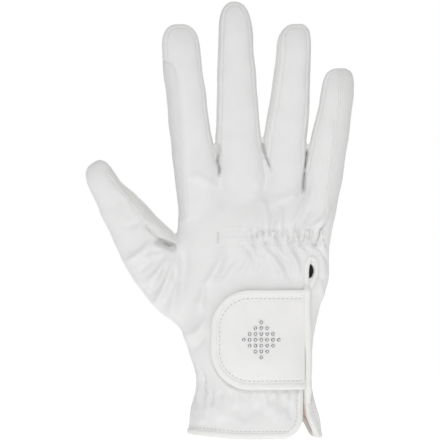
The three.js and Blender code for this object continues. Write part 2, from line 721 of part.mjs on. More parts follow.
// Panels of the thumb. The seam between them leans over the thumb's front: shares of the thumb's
// width and depth where it passes, and its lean.
const thumbSeam = { across: -0.12, deep: 0.36, lean: 0.34 };

function thumbFrontRegion(grow) {
  const middle = { s: thumbSeam.across * thumbWidth, y: thumbSeam.deep * thumbDepth };
  const lineAt = (y) => middle.s - thumbSeam.lean * (y - middle.y) - grow;
  const near = -thumbLength;
  const far = thumbLength;
  const shape = new THREE.Shape([
    new THREE.Vector2(lineAt(near), near), new THREE.Vector2(farAway, near),
    new THREE.Vector2(farAway, far), new THREE.Vector2(lineAt(far), far),
  ]);
  const geometry = new THREE.ExtrudeGeometry(shape, { depth: farAway, bevelEnabled: false });
  geometry.translate(0, 0, -farAway * half);
  geometry.applyMatrix4(new THREE.Matrix4().makeBasis(thumbAcross, new THREE.Vector3(0, 1, 0), thumbAlong));
  geometry.translate(thumbRoot.x, thumbRoot.y, thumbRoot.z);
  return solidOf(geometry);
}

const handGrown = handTube(-seamGap, bodyTop, seamGap, skinRings);
const thumbSkin = thumbTube(0, thumbFacets).subtract(inside).subtract(handGrown)
  .subtract(fingerTube(fingers[0], seamGap, fingerFacets));
addPiece("thumb_front", thumbSkin.intersect(thumbFrontRegion(0)), leather);
addPiece("thumb_back", thumbSkin.subtract(thumbFrontRegion(seamGap)), knit);

// Bound edge of the keyhole and slit. Beside the tab it is a thicker stack that holds the tab's end.
const bindingTop = seamGap + bindingLift;
const frontHalf = frontPrism([
  { x: -farAway, z: -farAway },
  { x: farAway, z: -farAway },
  { x: farAway, z: farAway },
  { x: -farAway, z: farAway },
], -farAway, 0);
const slitBand = slitCutter(bindingWidth).subtract(slitCutter(0));
const slitTop = keyholeZ + keyholeHeight + 2 * bindingWidth;
const stackOutline = [0, half, 1].map((share) => {
  const z = tabBottom + (tabTop - tabBottom) * share;
  return { x: slitX(z) + slitWidth * half, z };
});
const stackOuter = [...stackOutline].reverse().map((point) => ({ x: point.x + bindingWidth, z: point.z }));
const stackRegion = frontPrism([...stackOuter.reverse(), ...stackOutline.reverse()], -farAway, 0);
const stack = handSleeve(tabBottom, tabTop, seamGap, tabLow + tabThickness).intersect(stackRegion);
const slitBinding = handSleeve(0, slitTop, seamGap, bindingTop).intersect(slitBand).intersect(frontHalf);
addPiece("slit_binding", slitBinding.add(stack), smooth);

// Bound edge of the cuff, folded over the skin's raw edge.
const hemBand = handSleeve(0, hemHeight, seamGap, bindingTop);
const hemFold = handTube(0, hemLip, bindingTop, trimRings)
  .subtract(handTube(-overcut, hemLip + overcut, -wall, liningRings));
addPiece("hem_binding", hemBand.add(hemFold).subtract(slitCutter(bindingWidth + seamGap)), smooth);

// Closure tab and its bound edge.
const tabPrism = (inset) => frontPrism(tabOutline(inset), -farAway, 0);
const tabSleeve = (lift) => handSleeve(tabBottom - overcut, tabTop + overcut, tabLow, tabLow + lift);
addPiece("closure_tab", tabSleeve(tabThickness).intersect(tabPrism(tabEdge + seamGap)), smooth);
const tabRim = tabPrism(0).subtract(tabPrism(tabEdge));
addPiece("tab_binding", tabSleeve(tabThickness + tabEdgeLift).intersect(tabRim), smooth);

// Stones of the lozenge, each seated square on the tab's face.
function tabPoint(x, z) {
  const section = handSection(z);
  const grow = tabLow + tabThickness + stoneSeat;
  const middle = (section.left + section.right) * half;
  const share = (x - middle) / ((section.right - section.left) * half + grow);
  return new THREE.Vector3(x, curlAt(z) - (section.back + grow) * bluntDepth(share, handBluntness), z);
}

const lozengeX = tabLeft + lozengePlace * tabReach;
const lozengeZ = (tabBottom + tabTop) * half;
let stoneNumber = 0;
for (let row = -lozengeReach; row <= lozengeReach; row += 1) {
  const inRow = lozengeReach - Math.abs(row);
  for (let place = -inRow; place <= inRow; place += 1) {
    const x = lozengeX + place * stonePitch;
    const z = lozengeZ + row * stonePitch;
    const seat = tabPoint(x, z);
    const acrossFace = tabPoint(x + half, z).sub(tabPoint(x - half, z));
    const upFace = tabPoint(x, z + half).sub(tabPoint(x, z - half));
    const outwards = acrossFace.cross(upFace).normalize();
    const radius = stoneDiameter * half;
    const cut = new THREE.CylinderGeometry(radius * stoneTable, radius, stoneHeight, stoneFacets);
    const stone = new THREE.Mesh(cut, crystal);
    stoneNumber += 1;
    stone.name = `crystal_${String(stoneNumber).padStart(2, "0")}`;
    stone.quaternion.setFromUnitVectors(new THREE.Vector3(0, 1, 0), outwards);
    stone.position.copy(seat).addScaledVector(outwards, stoneHeight * half);
    group.add(stone);
  }
}

export default group;
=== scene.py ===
# %% [markdown]
# # The looks of a white riding glove
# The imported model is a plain, faceted glove. This script keeps it as the frame and makes the real
# surfaces round it: one seamless skin, parted into panels, with bindings, stitches and cut stones.
# Everything is made from named sizes, in millimetres, and turned into metres at the last moment.

import math

import bpy
import numpy as np
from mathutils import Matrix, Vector
from mathutils.bvhtree import BVHTree
from mathutils.kdtree import KDTree


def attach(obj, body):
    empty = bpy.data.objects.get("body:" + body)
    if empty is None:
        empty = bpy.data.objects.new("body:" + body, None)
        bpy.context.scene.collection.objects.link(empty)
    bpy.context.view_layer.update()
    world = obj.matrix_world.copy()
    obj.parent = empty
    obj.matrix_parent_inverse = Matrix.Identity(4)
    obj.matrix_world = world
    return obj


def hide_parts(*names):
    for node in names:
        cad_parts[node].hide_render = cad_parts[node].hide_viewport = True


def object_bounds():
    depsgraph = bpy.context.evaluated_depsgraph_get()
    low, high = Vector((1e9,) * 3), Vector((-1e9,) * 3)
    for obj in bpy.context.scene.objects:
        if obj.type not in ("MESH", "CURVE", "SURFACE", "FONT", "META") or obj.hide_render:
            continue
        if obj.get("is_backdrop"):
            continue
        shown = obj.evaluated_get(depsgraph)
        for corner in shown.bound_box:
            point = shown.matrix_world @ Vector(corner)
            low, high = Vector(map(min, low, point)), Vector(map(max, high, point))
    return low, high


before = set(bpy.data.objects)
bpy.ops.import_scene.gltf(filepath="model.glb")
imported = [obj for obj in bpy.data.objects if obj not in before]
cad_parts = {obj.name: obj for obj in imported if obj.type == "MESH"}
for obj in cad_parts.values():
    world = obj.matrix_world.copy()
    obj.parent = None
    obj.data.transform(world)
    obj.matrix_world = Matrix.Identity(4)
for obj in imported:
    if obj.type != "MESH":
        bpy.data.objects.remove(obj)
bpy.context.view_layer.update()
MM = 0.001

# %% [markdown]
# ## Camera, light and floor
# The glove is seen straight on, with its long side filling the picture. A long lens keeps the
# fingers parallel. The light is one soft box in front, above and a little to the left, with a weak
# fill beside it and a rim light behind. Big lamps near the glove give the soft shade of a studio.

# %% Camera
PIXEL = 0.535
FRAME_PIXELS = 440
VIEW_X, VIEW_Z = -18.5, 116.6
CAMERA_AWAY = 2.5
camera_data = bpy.data.cameras.new("camera")
camera_data.sensor_width = 36
camera_data.lens = CAMERA_AWAY / (PIXEL * FRAME_PIXELS * MM) * camera_data.sensor_width
camera_data.clip_start, camera_data.clip_end = 0.1, 20
camera = bpy.data.objects.new("camera", camera_data)
camera.location = (VIEW_X * MM, -CAMERA_AWAY, VIEW_Z * MM)
camera.rotation_euler = (math.radians(90), 0, 0)
bpy.context.scene.collection.objects.link(camera)
bpy.context.scene.camera = camera
print("lens, mm:", round(camera_data.lens))

# %% Lamps
bpy.context.scene.view_settings.view_transform = "Standard"
# name, place and side of the square in metres, watts
LAMPS = [("key_light", (-0.22, -1.95, 1.75), 0.6, 18.8), ("fill_light", (0.4, -2.35, 0.3), 1.6, 2.3),
         ("rim_light", (0.5, 1.9, 1.2), 1.4, 8)]


def soft_box(name, place, size, watts):
    """A square lamp that is turned towards the middle of the glove."""
    light = bpy.data.lights.new(name, "AREA")
    light.shape, light.size, light.energy = "SQUARE", size, watts
    lamp = bpy.data.objects.new(name, light)
    lamp.location = place
    aim = Vector((VIEW_X * MM, 0, VIEW_Z * MM)) - Vector(place)
    lamp.rotation_euler = aim.to_track_quat("-Z", "Y").to_euler()
    bpy.context.scene.collection.objects.link(lamp)
    return lamp


print("lamps:", [soft_box(*row).name for row in LAMPS])

# %% [markdown]
# ## The room
# A white thing shows its form by the grey that its turned-away sides take from the room. A picture
# of a studio could give that, but a few nodes do it in every view: the world is pale, darker to the
# left and right, so that rounded edges fall off, and white in a narrow cone right behind the glove.
# The helper makes a node, sets its inputs, and links those that come from another node.

# %% Room
def node(tree, kind, inputs, **settings):
    """A shader node, with each input set to a value or linked to another node's output."""
    made = tree.nodes.new("ShaderNode" + kind)
    for name, value in settings.items():
        setattr(made, name, value)
    for socket, value in inputs.items():
        if isinstance(value, bpy.types.NodeSocket):
            tree.links.new(value, made.inputs[socket])
        else:
            made.inputs[socket].default_value = value
    return made


ROOM_GREY, ROOM_SIDES, ROOM_WHITE = 0.55, 0.24, 1.0
WHITE_CONE, CONE_EDGE = math.cos(math.radians(11)), 0.02
world = bpy.data.worlds.new("pale_room")
bpy.context.scene.world = world
world.use_nodes = True
room = world.node_tree
direction = node(room, "TexCoord", {}).outputs["Generated"]
backwards, sideways = [
    node(room, "VectorMath", {0: direction, 1: axis}, operation="DOT_PRODUCT").outputs["Value"]
    for axis in ((0, 1, 0), (1, 0, 0))]
to_side = node(room, "Math", {0: sideways}, operation="ABSOLUTE").outputs["Value"]
grey = node(room, "MapRange", {"Value": to_side, "To Min": ROOM_GREY, "To Max": ROOM_SIDES}).outputs["Result"]
room_strength = node(room, "MapRange", {
    "Value": backwards, "From Min": WHITE_CONE - CONE_EDGE, "From Max": WHITE_CONE,
    "To Min": grey, "To Max": ROOM_WHITE}).outputs["Result"]
room_light = room.nodes["Background"]
room_light.inputs["Color"].default_value = (1, 1, 1, 1)
room.links.new(room_strength, room_light.inputs["Strength"])
print("room nodes:", len(room.nodes))

# %% Floor
FLOOR_SIZE, FLOOR_DROP = 1.1, 0.0022
FLOOR_PAINT = {"Base Color": (0.86, 0.86, 0.86, 1), "Roughness": 0.9,
               "Emission Color": (1, 1, 1, 1), "Emission Strength": 0.6}
corners = [(x * FLOOR_SIZE, y * FLOOR_SIZE, -FLOOR_DROP) for x, y in ((-1, -1), (1, -1), (1, 1), (-1, 1))]
floor_mesh = bpy.data.meshes.new("floor")
floor_mesh.from_pydata(corners, [], [(0, 1, 2, 3)])
floor = bpy.data.objects.new("floor", floor_mesh)
bpy.context.scene.collection.objects.link(floor)
floor_paint = bpy.data.materials.new("floor_paint")
floor_paint.use_nodes = True
for socket, value in FLOOR_PAINT.items():
    floor_paint.node_tree.nodes["Principled BSDF"].inputs[socket].default_value = value
floor_mesh.materials.append(floor_paint)
floor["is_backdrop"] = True
print("floor, m:", 2 * FLOOR_SIZE, "square")

# %% [markdown]
# ## The glove's sizes
# The same measures as the frame's: a table of sections for the hand, and one for each finger.
# Between the rows a smooth curve is read, so a few rows make a soft body. The tips are closed by a
# blunt cap, because sewn fingertips are rounder than a table of rings would make them.

# %% Measures
BODY_LENGTH = 134.0
FINGER_CURL, CURL_SPAN, FINGER_DEPTH = 8.0, 114.0, 18.0
THUMB_LENGTH, THUMB_WIDTH, THUMB_DEPTH, THUMB_LEAN = 106.0, 20.6, 19.0, math.radians(33.5)
# a bluntness of 2 makes an ellipse, and a higher one a fuller, squarer section
HAND_BLUNT, FINGER_BLUNT = 2.4, 2.3
print("body and thumb, mm:", BODY_LENGTH, THUMB_LENGTH)

# %% Sections of the hand
# up, left, right, back, palm: shares of the body's length, then millimetres
HAND_ROWS = [
    (0.0, -35.5, 35.5, 23.0, 23.0), (0.06, -35.0, 35.5, 22.5, 22.5), (0.12, -34.1, 33.4, 21.4, 21.4),
    (0.184, -32.0, 31.3, 20.4, 20.4), (0.246, -31.3, 30.2, 20.0, 20.0), (0.311, -33.4, 30.2, 19.6, 20.0),
    (0.375, -36.3, 31.3, 18.4, 19.6), (0.44, -38.7, 32.4, 17.4, 18.5), (0.537, -40.3, 35.6, 16.0, 16.8),
    (0.63, -41.4, 39.6, 14.8, 15.4), (0.727, -41.7, 39.9, 14.3, 14.6), (0.82, -41.5, 40.4, 13.7, 13.7),
    (0.888, -41.0, 42.2, 12.2, 12.2), (0.93, -40.2, 43.5, 10.6, 10.6), (0.955, -38.5, 42.6, 9.0, 9.0),
    (0.975, -35.3, 40.2, 6.2, 6.2),
]
print("rows of the hand:", len(HAND_ROWS))

# %% Sections of the fingers
# name, root x, tip x, root z, length, width, start of the cap, its bluntness,
# and rows of along, side, wide, deep
FINGERS = [
    ("index", -28.6, -39.3, 112.0, 110.0, 21.5, 0.85, 2.6, [
        (0, 0, 1, 1.1), (0.217, 0.03, 1.14, 1.12), (0.295, 0.02, 1.12, 1.1), (0.412, -0.02, 1.045, 1.06),
        (0.53, -0.05, 1.02, 1.03), (0.645, -0.05, 1, 1), (0.76, -0.07, 0.99, 0.97), (0.84, -0.07, 0.97, 0.9),
        (0.918, -0.055, 0.87, 0.78), (1, -0.04, 0.5, 0.5)]),
    ("middle", -6.7, -10.7, 116.0, 118.0, 21.0, 0.80, 2.6, [
        (0, 0, 1.07, 1.12), (0.205, 0.05, 1.23, 1.16), (0.27, 0.03, 1.22, 1.14), (0.35, -0.02, 1.18, 1.1),
        (0.42, -0.02, 1.12, 1.07), (0.53, -0.015, 1.05, 1.04), (0.64, -0.015, 1, 1),
        (0.75, -0.01, 0.93, 0.96), (0.858, 0, 0.86, 0.86), (0.93, 0, 0.77, 0.72), (1, 0, 0.5, 0.4)]),
    ("ring", 14.7, 23.0, 112.0, 110.0, 20.5, 0.86, 2.8, [
        (0, 0, 1.05, 1.08), (0.256, -0.02, 1.08, 1.1), (0.35, -0.07, 1.13, 1.08), (0.42, -0.1, 1.14, 1.06),
        (0.49, -0.08, 1.13, 1.04), (0.606, -0.05, 1.06, 1.02), (0.723, -0.045, 0.98, 0.97),
        (0.84, -0.04, 0.92, 0.88), (0.918, -0.05, 0.84, 0.76), (1, -0.01, 0.5, 0.4)]),
    ("little", 30.2, 45.2, 100.0, 98.0, 18.0, 0.88, 2.9, [
        (0, 0, 1.04, 1.06), (0.235, 0, 1.16, 1.06), (0.366, 0.04, 1.16, 1.02), (0.454, 0.03, 1.16, 0.98),
        (0.54, 0.035, 1.15, 0.95), (0.629, 0.04, 1.12, 0.92), (0.715, 0.06, 1.07, 0.89),
        (0.803, 0.07, 1.01, 0.85), (0.89, 0.06, 0.94, 0.76), (1, 0.02, 0.5, 0.4)]),
]
print("fingertips, mm:", [round(finger[3] + finger[4], 1) for finger in FINGERS])

# %% Sections of the thumb
# along, side, wide, deep, shift to the palm side
THUMB_ROWS = [
    (0, 0.06, 1.1, 0.9, 0), (0.205, -0.04, 1.62, 1.44, 0.2), (0.396, -0.12, 1.65, 1.36, 0.26),
    (0.566, -0.175, 1.37, 1.2, 0.32), (0.66, -0.175, 1.22, 1.1, 0.36), (0.744, -0.195, 1.06, 1.02, 0.38),
    (0.83, -0.215, 0.84, 0.93, 0.4), (0.9, -0.205, 0.76, 0.84, 0.41), (1, -0.14, 0.6, 0.6, 0.42),
]
THUMB_CAP, THUMB_CAP_BLUNT = 0.86, 2.8
THUMB_ROOT = np.array([-25.8, 0.0, 60.6])
THUMB_ALONG = np.array([-math.sin(THUMB_LEAN), 0, math.cos(THUMB_LEAN)])
THUMB_ACROSS = np.array([math.cos(THUMB_LEAN), 0, math.sin(THUMB_LEAN)])
print("the thumb leans, degrees:", round(math.degrees(THUMB_LEAN), 1))

# %% [markdown]
# ## Reading the tables
# Straight lines between the rows would show as kinks in the fabric. A cubic curve through the rows
# is smooth, and it still passes through every measure that was taken.

# %% Smooth values between rows
def read_rows(rows, column, at):
    """Smooth value of one column between the rows of a table, for an array of places."""
    table = np.array([row[: column + 1] for row in rows], dtype=float)
    keys, values = table[:, 0], table[:, column]
    at = np.clip(np.asarray(at, dtype=float), keys[0], keys[-1])
    step = np.clip(np.searchsorted(keys, at), 1, len(keys) - 1)
    before, after = np.maximum(step - 2, 0), np.minimum(step + 1, len(keys) - 1)
    span = keys[step] - keys[step - 1]
    share = (at - keys[step - 1]) / span
    slope_from = span * (values[step] - values[before]) / (keys[step] - keys[before])
    slope_to = span * (values[after] - values[step - 1]) / (keys[after] - keys[step - 1])
    square, cube = share**2, share**3
    return (values[step - 1] * (2 * cube - 3 * square + 1) + slope_from * (cube - 2 * square + share)
            + values[step] * (3 * square - 2 * cube) + slope_to * (cube - square))


def ease(low, high, value):
    """Nought up to low, one from high on, and a soft rise between; it falls where low is above high."""
    share = np.clip((np.asarray(value, dtype=float) - low) / (high - low), 0, 1)
    return share * share * (3 - 2 * share)


def curl_at(z):
    """How far the fingers curl to the palm side at a height."""
    return FINGER_CURL * np.maximum(0, (np.asarray(z) - BODY_LENGTH) / CURL_SPAN + 0.12) ** 2


def hand_section(z):
    """Left, right, back and palm of the hand's section at a height."""
    up = np.asarray(z, dtype=float) / BODY_LENGTH
    return [read_rows(HAND_ROWS, column, up) for column in (1, 2, 3, 4)]


def blunt_depth(share, bluntness=HAND_BLUNT):
    """Height of a blunt arch, one at its middle, at a share of its half width."""
    return np.maximum(0, 1 - np.abs(share) ** bluntness) ** (1 / bluntness)


def signed_power(value, power):
    """A power that keeps the sign, which turns a circle's sine and cosine into a squarer round."""
    return np.sign(value) * np.abs(value) ** power


def blunt_turn(turn, bluntness):
    """Places across and deep on a blunt round section."""
    return signed_power(np.cos(turn), 2 / bluntness), signed_power(np.sin(turn), 2 / bluntness)


# seen from the side, a tip closes a little earlier and rounder
DEPTH_CAP_EARLIER, DEPTH_CAP_BLUNT = 0.1, 2.1


def capped(rows, column, along, start, bluntness):
    """A column of a table, closed towards the end by a blunt cap from a start on."""
    share = np.clip((along - start) / (1 - start), 0, 1)
    return read_rows(rows, column, np.minimum(along, start)) * blunt_depth(share, bluntness)


def finger_at(finger, along):
    """Middle, half width, half depth and height of a finger at shares of its length."""
    name, root, tip, rise, length, width, start, bluntness, rows = finger
    along = np.asarray(along, dtype=float)
    middle = root + (tip - root) * along + read_rows(rows, 1, along) * width
    half_width = capped(rows, 2, along, start, bluntness) * width / 2
    half_depth = capped(rows, 3, along, start - DEPTH_CAP_EARLIER, DEPTH_CAP_BLUNT) * FINGER_DEPTH / 2
    return middle, half_width, half_depth, rise + along * length


print("widest finger, mm:", round(max(2 * finger_at(finger, 0.3)[1] for finger in FINGERS), 1))

# %% [markdown]
# ## One seamless skin
# A glove is sewn from flat panels, but worn it reads as one skin. So the hand, the fingers and the
# thumb are lofted as closed tubes, melted together by a voxel remesh, and relaxed a little where
# they meet. The panels are parted afterwards, along lines drawn on this skin, so that they fit.

# %% Loft the tubes
def loft(rings):
    """Closed tube through rings of points, an array of rows, turns and coordinates."""
    rows, turns = rings.shape[:2]
    here = np.arange(rows * turns).reshape(rows, turns)
    beside = np.roll(here, -1, axis=1)
    quads = np.stack([here[:-1], beside[:-1], beside[1:], here[1:]], axis=-1).reshape(-1, 4)
    ends = [here[0][::-1].tolist(), here[-1].tolist()]
    return rings.reshape(-1, 3), quads.tolist() + ends


def hand_ring(z, turns):
    """Ring of the hand at heights z, by turns round it; the back of the hand faces minus y."""
    left, right, back, palm = [value[:, None] for value in hand_section(z)]
    across, deep = blunt_turn(turns[None, :], HAND_BLUNT)
    x = (left + right) / 2 + (right - left) / 2 * across
    y = np.where(deep < 0, back, palm) * deep + curl_at(z)[:, None]
    return np.stack([x, y, np.broadcast_to(np.asarray(z)[:, None], x.shape)], axis=-1)


SKIN_FOOT = -6.0
HAND_TOP = HAND_ROWS[-1][0] * BODY_LENGTH
# rings crowd towards the tips, where the round is tight
TIP_CROWDING = 1.6
full_turn = np.linspace(0, 2 * math.pi, 160, endpoint=False)
tubes = [loft(hand_ring(np.concatenate([[SKIN_FOOT], np.linspace(0, HAND_TOP, 90)]), full_turn))]

finger_turn = np.linspace(0, 2 * math.pi, 56, endpoint=False)
to_tip = (1 - (1 - np.linspace(0, 1, 110)) ** TIP_CROWDING)[:-1]
for finger in FINGERS:
    middle, half_width, half_depth, z = [value[:, None] for value in finger_at(finger, to_tip)]
    across, deep = blunt_turn(finger_turn[None, :], FINGER_BLUNT)
    x = middle + half_width * across
    tubes.append(loft(np.stack([x, half_depth * deep + curl_at(z), np.broadcast_to(z, x.shape)], axis=-1)))

thumb_half_width = capped(THUMB_ROWS, 2, to_tip, THUMB_CAP, THUMB_CAP_BLUNT) * THUMB_WIDTH / 2
thumb_half_depth = (capped(THUMB_ROWS, 3, to_tip, THUMB_CAP - DEPTH_CAP_EARLIER, DEPTH_CAP_BLUNT)
                    * THUMB_DEPTH / 2)
thumb_middle = (THUMB_ROOT + to_tip[:, None] * THUMB_LENGTH * THUMB_ALONG
                + (read_rows(THUMB_ROWS, 1, to_tip) * THUMB_WIDTH)[:, None] * THUMB_ACROSS)
thumb_middle[:, 1] += read_rows(THUMB_ROWS, 4, to_tip) * THUMB_DEPTH
across, deep = blunt_turn(finger_turn, FINGER_BLUNT)
thumb_rings = thumb_middle[:, None, :] + (thumb_half_width[:, None] * across)[..., None] * THUMB_ACROSS
thumb_rings[..., 1] += thumb_half_depth[:, None] * deep
tubes.append(loft(thumb_rings))
print("tubes:", len(tubes), "points:", sum(len(points) for points, faces in tubes))

# %% Melt them together
VOXEL = 0.8


def melted(parts, voxel):
    """Points and triangles of the remeshed union of closed tubes."""
    mesh = bpy.data.meshes.new("tubes")
    points, faces, first = [], [], 0
    for some_points, some_faces in parts:
        points.extend(some_points.tolist())
        faces.extend([[corner + first for corner in face] for face in some_faces])
        first += len(some_points)
    mesh.from_pydata(points, [], faces)
    shape = bpy.data.objects.new("tubes", mesh)
    bpy.context.scene.collection.objects.link(shape)
    remesh = shape.modifiers.new("melt", "REMESH")
    remesh.mode, remesh.voxel_size = "VOXEL", voxel
    made = shape.evaluated_get(bpy.context.evaluated_depsgraph_get()).to_mesh()
    made.calc_loop_triangles()
    place = np.empty(len(made.vertices) * 3)
    made.vertices.foreach_get("co", place)
    corners = np.empty(len(made.loop_triangles) * 3, dtype=np.int32)
    made.loop_triangles.foreach_get("vertices", corners)
    bpy.data.objects.remove(shape)
    bpy.data.meshes.remove(mesh)
    return place.reshape(-1, 3), corners.reshape(-1, 3).astype(np.int64)


skin, triangles = melted(tubes, VOXEL)
print("skin points:", len(skin), "triangles:", len(triangles))

# %% Relax it
def edges_of(faces):
    """Every edge of the triangles once, as pairs of points."""
    pairs = np.sort(np.concatenate([faces[:, [0, 1]], faces[:, [1, 2]], faces[:, [2, 0]]]), axis=1)
    return np.unique(pairs, axis=0)


def relaxed(points, pairs, weight, rounds):
    """Moves each point towards the mean of its neighbours, by a weight per point."""
    count = np.bincount(pairs.ravel(), minlength=len(points))
    for _ in range(rounds):
        mean = np.stack([
            np.bincount(pairs[:, 0], points[pairs[:, 1], axis], len(points))
            + np.bincount(pairs[:, 1], points[pairs[:, 0], axis], len(points))
            for axis in range(3)], axis=1) / count[:, None]
        points = points + weight[:, None] * (mean - points)
    return points


def normals_of(points, faces):
    """Outward direction at each point, from the triangles round it."""
    a, b, c = points[faces[:, 0]], points[faces[:, 1]], points[faces[:, 2]]
    face = np.cross(b - a, c - a)
    total = np.stack([sum(np.bincount(faces[:, k], face[:, axis], len(points)) for k in range(3))
                      for axis in range(3)], axis=1)
    return total / np.maximum(np.linalg.norm(total, axis=1), 1e-9)[:, None]


edges = edges_of(triangles)
skin = relaxed(skin, edges, np.full(len(skin), 0.5), 3)
x, z = skin[:, 0], skin[:, 2]
# then more rounds at the roots of the fingers, and in a spot over the root of the thumb
at_roots = ease(104, 116, z) * ease(150, 138, z) * ease(-46, -40, x)
at_thumb = ease(16, 8, np.hypot((x + 36) * 0.9, (z - 78) * 0.5))
skin = relaxed(skin, edges, 0.5 * np.maximum(0.75 * at_roots, at_thumb), 36)
print("skin box, mm:", skin.min(0).round(1), skin.max(0).round(1))

# %% [markdown]
# ## Parting the skin into panels
# The real panels are cut flat and sewn: a back of soft fabric, a palm of grained leather, strips
# between the fingers, a reinforcement round the index finger and a ribbed panel down the outer
# side. Here a function says which panel a point belongs to. Where an edge of the skin crosses from
# one panel to another, its nearer end is slid to the crossing, so each seam is a clean line.

# %% Lines of the seams
# numbers of the panels; the strips follow on from STRIP_LOW
BACK, PALM, INDEX_SIDE, ULNAR_SIDE, STRIP_LOW, THUMB_FRONT, CUT = 0, 1, 2, 3, 4, 8, 9
# how far a seam lies inside the outline at a finger's tip, and left and right of each finger
TIP_INSET = 2.1
SEAM_INSETS = [(2.3, 1.9), (2.5, 1.9), (4.2, 2.3), (1.9, 2.3)]
# how far below the tip a strip ends, and how far the outer side panel wraps round
STRIP_TIP = 6.0
SIDE_WRAP = 6.25
# the cuff's edge, then the keyhole, and the slit that runs down from it
HEM_CUT, HEM_TILT, PALM_ARCH = 1.0, 2.2, 9.0
KEYHOLE_Z, KEYHOLE_X, SLIT_FOOT_X = 89.5, 30.0, 25.4
KEYHOLE_LEFT, KEYHOLE_WIDTH, KEYHOLE_HALF_HEIGHT = 28.7, 3.1, 4.2
SLIT_HALF, MOUTH_RISE, SLIT_TOP = 0.6, 24.0, 62.0

# height and x of the seam of the index side panel, from its foot to its rounded top
INDEX_SEAM = [(113.9, -54.0), (116.3, -38.5), (120.6, -36.3), (134.0, -36.7), (158.1, -37.9),
              (184.9, -39.6), (196.0, -41.6), (200.8, -45.2), (203.3, -54.1)]
# height and x along the slits between the fingers, from the crotch up to where the fingers part
SLIT_LINES = [
    [(139.5, -19.4), (143.5, -18.7), (147.5, -19.8), (151.5, -19.2), (156.0, -19.4), (160.0, -20.4)],
    [(143.0, 8.4), (148.0, 6.9), (152.0, 5.6), (160.0, 3.4)],
    [(130.5, 26.0), (138.0, 26.4), (147.0, 27.2), (157.0, 28.5)],
]
SLIT_MERGE = 160.0
# height and x of the seam of the outer side panel, from the keyhole to the little finger
ULNAR_SEAM = [
    (89.5, 30.0), (96.5, 30.3), (105.9, 34.0), (119.3, 36.7), (148.7, 39.4), (175.5, 43.0),
    (201.0, 44.7),
]
# along the thumb and across it, the seam that is seen from the front
THUMB_SEAM = [
    (38.0, 15.0), (43.5, 7.2), (51.5, 4.3), (59.5, 2.6), (71.3, 2.4), (82.0, 2.3), (92.0, 1.9),
    (97.5, 1.6), (101.0, 2.9), (106.0, 6.5),
]
# height and x of the flaps' edges where the slit opens into the cuff's mouth
LEFT_FLAP = [
    (0.0, 14.5), (1.0, 17.2), (1.9, 19.0), (3.2, 20.8), (5.4, 22.9), (8.0, 24.5), (11.4, 25.2),
    (16.0, 25.4), (24.0, 25.6),
]
RIGHT_FLAP = [
    (0.3, 33.5), (1.5, 32.6), (3.2, 31.8), (5.4, 31.1), (8.0, 30.0), (10.8, 28.9), (14.0, 27.8),
    (20.3, 26.8), (24.0, 26.7),
]
# x and height of the crotches between the fingers, and the height below which no finger is looked for
CROTCHES = [(-20.6, 140.2), (7.2, 143.9), (26.5, 131.0)]
FINGERS_FROM = 108
print("slits between the fingers:", len(SLIT_LINES))

# %% Edges of the slit and of the cuff
def slit_x(z):
    """Middle of the slit from the cuff up to the keyhole."""
    return SLIT_FOOT_X + (KEYHOLE_X - SLIT_FOOT_X) * np.clip(np.asarray(z) / KEYHOLE_Z, 0, 1) ** 1.3


def flap_left(z):
    """Edge of the slit on the side of the tab, which opens out into the mouth."""
    return np.where(z < MOUTH_RISE, read_rows(LEFT_FLAP, 1, z), slit_x(z) - SLIT_HALF)


def flap_right(z):
    """Edge of the slit on the outer side."""
    return np.where(z < MOUTH_RISE, read_rows(RIGHT_FLAP, 1, z), slit_x(z) + SLIT_HALF)


def hem_low(x):
    """The cuff's edge rises a little towards the thumb side."""
    return HEM_TILT * ease(-4, -40, x)


def hem_at(x, y):
    """The cuff's edge, with an arch on the palm side behind the slit's mouth."""
    return hem_low(x) + PALM_ARCH * ease(14, 21, x) * ease(32.5, 26.5, x) * ease(0, 8, y)


print("mouth of the slit, mm wide:", round(float(flap_right(1.0) - flap_left(1.0)), 1))

# %% [markdown]
# ## Where a finger's outline runs
# The seams along a finger keep an even distance from its outline, as a real strip has an even
# width. So the distance of each point from the outline is measured, seen from the front, and the
# finger whose outline is deepest there is the one that the point belongs to.

# %% Depth inside the fingers
outline_share = 1 - (1 - np.linspace(0, 1, 260)) ** TIP_CROWDING


def inside_fingers(x, z):
    """Depth of points inside the fingers' outline, the finger, and the side of its middle."""
    crotch = np.array(CROTCHES)
    deepest = np.interp(x, crotch[:, 0], crotch[:, 1]) + 1.0 - z
    owner = np.zeros(len(x), dtype=int)
    side = np.zeros(len(x))
    for number, finger in enumerate(FINGERS):
        middle, half_width, half_depth, height = finger_at(finger, outline_share)
        near = np.abs(x - np.interp(z, height, middle)) < np.interp(z, height, half_width) + 5
        near &= z > height[0]
        some = np.flatnonzero(near)
        if len(some) == 0:
            continue
        line = np.concatenate([np.stack([middle + way * half_width, height], 1) for way in (-1, 1)])
        away = np.empty(len(some))
        for start in range(0, len(some), 4000):
            part = some[start:start + 4000]
            gap = np.hypot(x[part, None] - line[None, :, 0], z[part, None] - line[None, :, 1])
            away[start:start + 4000] = gap.min(axis=1)
        off = x[some] - np.interp(z[some], height, middle)
        within = np.abs(off) <= np.interp(z[some], height, half_width)
        signed = np.where(within & (z[some] < height[-1]), away, -away)
        better = signed > deepest[some]
        chosen = some[better]
        deepest[chosen] = signed[better]
        closer = better | (side[some] == 0)
        owner[some[closer]] = number
        side[some[closer]] = np.sign(off[closer])
    return deepest, owner, side


depth, owner, side = inside_fingers(np.array([-10.0]), np.array([200.0]))
print("depth in the middle finger, mm:", round(float(depth[0]), 1))

# %% [markdown]
# ## Which panel a point belongs to
# One rule after another labels the points: first back and palm, then the strips between the
# fingers, the panels on both sides, the thumb, and last the keyhole, the slit and the hem, where
# the skin is cut away. Painting the seams by hand would look the same, but wouldn't follow a change.

